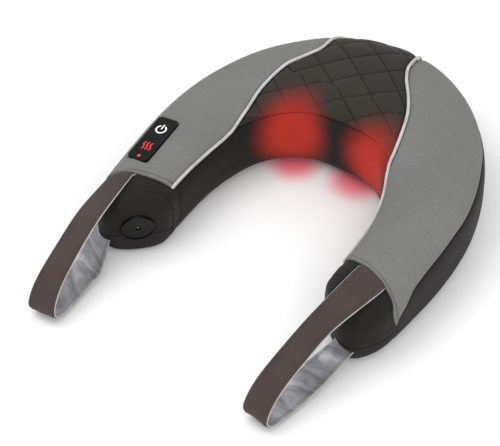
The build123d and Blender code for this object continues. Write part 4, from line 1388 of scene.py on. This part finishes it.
class MASSAGER_OT_side_band(bpy.types.Operator):
    """Make the dark band round the outside and the flat base"""
    bl_idname = "massager.side_band"
    bl_label = "Band and base"

    def execute(self, context):
        done(side_band(), "dark_band", ["boxing_band"])
        done(base_sheet(), "base_fabric", ["base_cover"])
        return {"FINISHED"}


class MASSAGER_OT_ends(bpy.types.Operator):
    """Make the black pouch and the band round each arm's end, with their seams"""
    bl_idname = "massager.ends"
    bl_label = "Arm ends"

    def execute(self, context):
        for side, name in ((-1, "left"), (1, "right")):
            pouch = end_piece(side, f"{name}_end_pouch", END_LOW + 0.6, END_HIGH - 0.6)
            done(pouch, "black_end_fabric", [f"{name}_end_cover"])
            band = end_piece(side, f"{name}_end_band", END_HIGH + 0.6 - 360.0, END_LOW - 0.6)
            done(band, "dark_band")
        return {"FINISHED"}


class MASSAGER_OT_piping(bpy.types.Operator):
    """Make the pale piping cord in each seam"""
    bl_idname = "massager.piping"
    bl_label = "Piping"

    def execute(self, context):
        radius = settings()[0].piping / MM
        for side, name in ((-1, "left"), (1, "right")):
            line, up = seam_path(side, 240, 0.7)
            done(tube(f"{name}_piping_cord", line, up, radius, sides=16), "pale_piping",
                 [f"{name}_piping"])
        return {"FINISHED"}


class MASSAGER_OT_straps(bpy.types.Operator):
    """Make the two hand straps"""
    bl_idname = "massager.straps"
    bl_label = "Hand straps"

    def execute(self, context):
        sizes = settings()[1]
        for name, strap in STRAPS.items():
            origin = strap_point(strap, 60.0, 60.0, 0.0)
            far = strap_point(strap, 122.0, 60.0, 0.0)
            for thing, look_name, slot in strap_pieces(name, strap, sizes):
                paint(thing, fabric_looks(look_name), rides=False)
                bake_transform(thing)
                if thing.name.endswith("webbing"):
                    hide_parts(f"{name}_strap_tab", f"{name}_strap_loop")
                if thing.name.endswith("cloth"):
                    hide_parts(f"{name}_strap_lining")
        return {"FINISHED"}


class MASSAGER_OT_marks(bpy.types.Operator):
    """Print the power and heat signs on the keys"""
    bl_idname = "massager.marks"
    bl_label = "Key marks"

    def execute(self, context):
        for thing in power_mark():
            done(thing, "white_ink", body="power_key")
        for thing in heat_marks():
            done(thing, "red_ink", body="heat_key")
        return {"FINISHED"}


def area_light(name, place, size, power):
    """Round area light that looks at the middle of the floor."""
    data = bpy.data.lights.new(name, "AREA")
    data.shape = "DISK"
    data.size = size
    data.energy = power
    lamp = bpy.data.objects.new(name, data)
    lamp.location = place
    lamp.rotation_euler = (-Vector(place)).to_track_quat("-Z", "Y").to_euler()
    bpy.context.scene.collection.objects.link(lamp)
    return lamp


SPILL = [(-58.0, 110.0), (20.0, 120.0)]      # where the heads' light falls on the floor
SPILL_REACH, SPILL_CORE = 50.0, 6.0          # radii at which it has faded and is full
FLOOR_REACH, FLOOR_DROP = 12.0, 0.0004       # half the floor's side and its depth, in metres
AIM_LEFT, AIM_DOWN = 0.0589, 0.00587         # the camera looks past the origin by this, in metres


def floor_look():
    """Pale floor with a faint mottle; the heads' warm light tints it inside the neck opening."""
    look = Finish("pale_floor", 0.9, Specular_IOR_Level=0.1)
    broad = look.noise(3.0, 2.0)
    pale = look.ramp(broad, [(0.3, (0.93, 0.93, 0.93)), (0.7, (0.95, 0.95, 0.95))])
    shares = []
    for x, y in SPILL:
        gap = look.add("ShaderNodeVectorMath", operation="DISTANCE")
        look.join(look.where.outputs["Object"], gap.inputs[0])
        gap.inputs[1].default_value = (x * MM, y * MM, 0.0)
        fade = look.add("ShaderNodeMapRange", interpolation_type="SMOOTHERSTEP")
        fade.inputs["From Min"].default_value = SPILL_REACH * MM
        fade.inputs["From Max"].default_value = SPILL_CORE * MM
        look.join(gap.outputs["Value"], fade.inputs["Value"])
        shares.append(fade.outputs["Result"])
    share = look.maths("MAXIMUM", *shares)
    look.colour(look.blend(share, pale, linear((255, 132, 146))))
    return look


class MASSAGER_OT_stage(bpy.types.Operator):
    """Set the floor, the lights and the camera"""
    bl_idname = "massager.stage"
    bl_label = "Stage"

    def execute(self, context):
        scene = context.scene
        stage = settings()[3]
        mesh = bpy.data.meshes.new("floor")
        corners = [(-1, -1, 0), (1, -1, 0), (1, 1, 0), (-1, 1, 0)]
        mesh.from_pydata([Vector(corner) * FLOOR_REACH for corner in corners], [], [(0, 1, 2, 3)])
        mesh.transform(Matrix.Translation((0.0, 0.0, -FLOOR_DROP)))
        floor = bpy.data.objects.new("floor", mesh)
        mesh.materials.append(floor_look().material)
        scene.collection.objects.link(floor)
        world = bpy.data.worlds.new("studio")
        world.use_nodes = True
        world.node_tree.nodes["Background"].inputs["Color"].default_value = (1.0, 1.0, 1.0, 1.0)
        world.node_tree.nodes["Background"].inputs["Strength"].default_value = 1.0
        scene.world = world
        area_light("key_light", (-0.9, -0.5, 1.9), 1.4, 11.0)
        area_light("fill_light", (1.5, -1.2, 1.3), 1.6, 9.0)
        scene.view_settings.view_transform = "Standard"
        a, e = stage.azimuth, stage.elevation
        right = Vector((math.cos(a), math.sin(a), 0.0))
        upward = Vector((-math.sin(a) * math.sin(e), math.cos(a) * math.sin(e), math.cos(e)))
        back = Vector((math.sin(a) * math.cos(e), -math.cos(a) * math.cos(e), math.sin(e)))
        origin = Vector((0.0, BODY_Y * MM, 0.0))
        target = origin - AIM_LEFT * right - AIM_DOWN * upward
        data = bpy.data.cameras.new("camera")
        data.lens = stage.lens
        data.sensor_width = 36.0
        data.clip_end = 100.0
        camera = bpy.data.objects.new("camera", data)
        camera.location = origin + back * stage.distance
        camera.rotation_euler = (target - camera.location).to_track_quat("-Z", "Y").to_euler()
        scene.collection.objects.link(camera)
        scene.camera = camera
        return {"FINISHED"}


OPERATORS = (MASSAGER_OT_stage, MASSAGER_OT_hardware, MASSAGER_OT_grey_panels, MASSAGER_OT_quilted_panel,
             MASSAGER_OT_inner_wall, MASSAGER_OT_side_band, MASSAGER_OT_ends, MASSAGER_OT_piping,
             MASSAGER_OT_straps, MASSAGER_OT_marks)
GROUPS = {"massager_cover": CoverSettings, "massager_strap": StrapSettings,
          "massager_glow": GlowSettings, "massager_stage": StageSettings}


class MASSAGER_PT_panel(bpy.types.Panel):
    """Sizes and steps of the massager"""
    bl_idname = "MASSAGER_PT_panel"
    bl_label = "Neck massager"
    bl_space_type = "VIEW_3D"
    bl_region_type = "UI"
    bl_category = "Massager"

    def draw(self, context):
        for group in GROUPS:
            box = self.layout.box()
            values = getattr(context.scene, group)
            for name in values.__annotations__:
                box.prop(values, name)
        for operator in OPERATORS:
            self.layout.operator(operator.bl_idname)


def register():
    """Adds the settings, the operators and the panel."""
    for group, kind in GROUPS.items():
        bpy.utils.register_class(kind)
        setattr(bpy.types.Scene, group, PointerProperty(type=kind))
    for kind in (*OPERATORS, MASSAGER_PT_panel):
        bpy.utils.register_class(kind)


def unregister():
    """Takes them away again."""
    for kind in (MASSAGER_PT_panel, *OPERATORS[::-1]):
        bpy.utils.unregister_class(kind)
    for group, kind in GROUPS.items():
        delattr(bpy.types.Scene, group)
        bpy.utils.unregister_class(kind)


def main():
    """Builds everything by its operators."""
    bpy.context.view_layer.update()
    register()
    bpy.ops.massager.stage()
    bpy.ops.massager.hardware()
    bpy.ops.massager.grey_panels()
    bpy.ops.massager.quilted_panel()
    bpy.ops.massager.inner_wall()
    bpy.ops.massager.side_band()
    bpy.ops.massager.ends()
    bpy.ops.massager.piping()
    bpy.ops.massager.straps()
    bpy.ops.massager.marks()


if __name__ == "__main__":
    main()
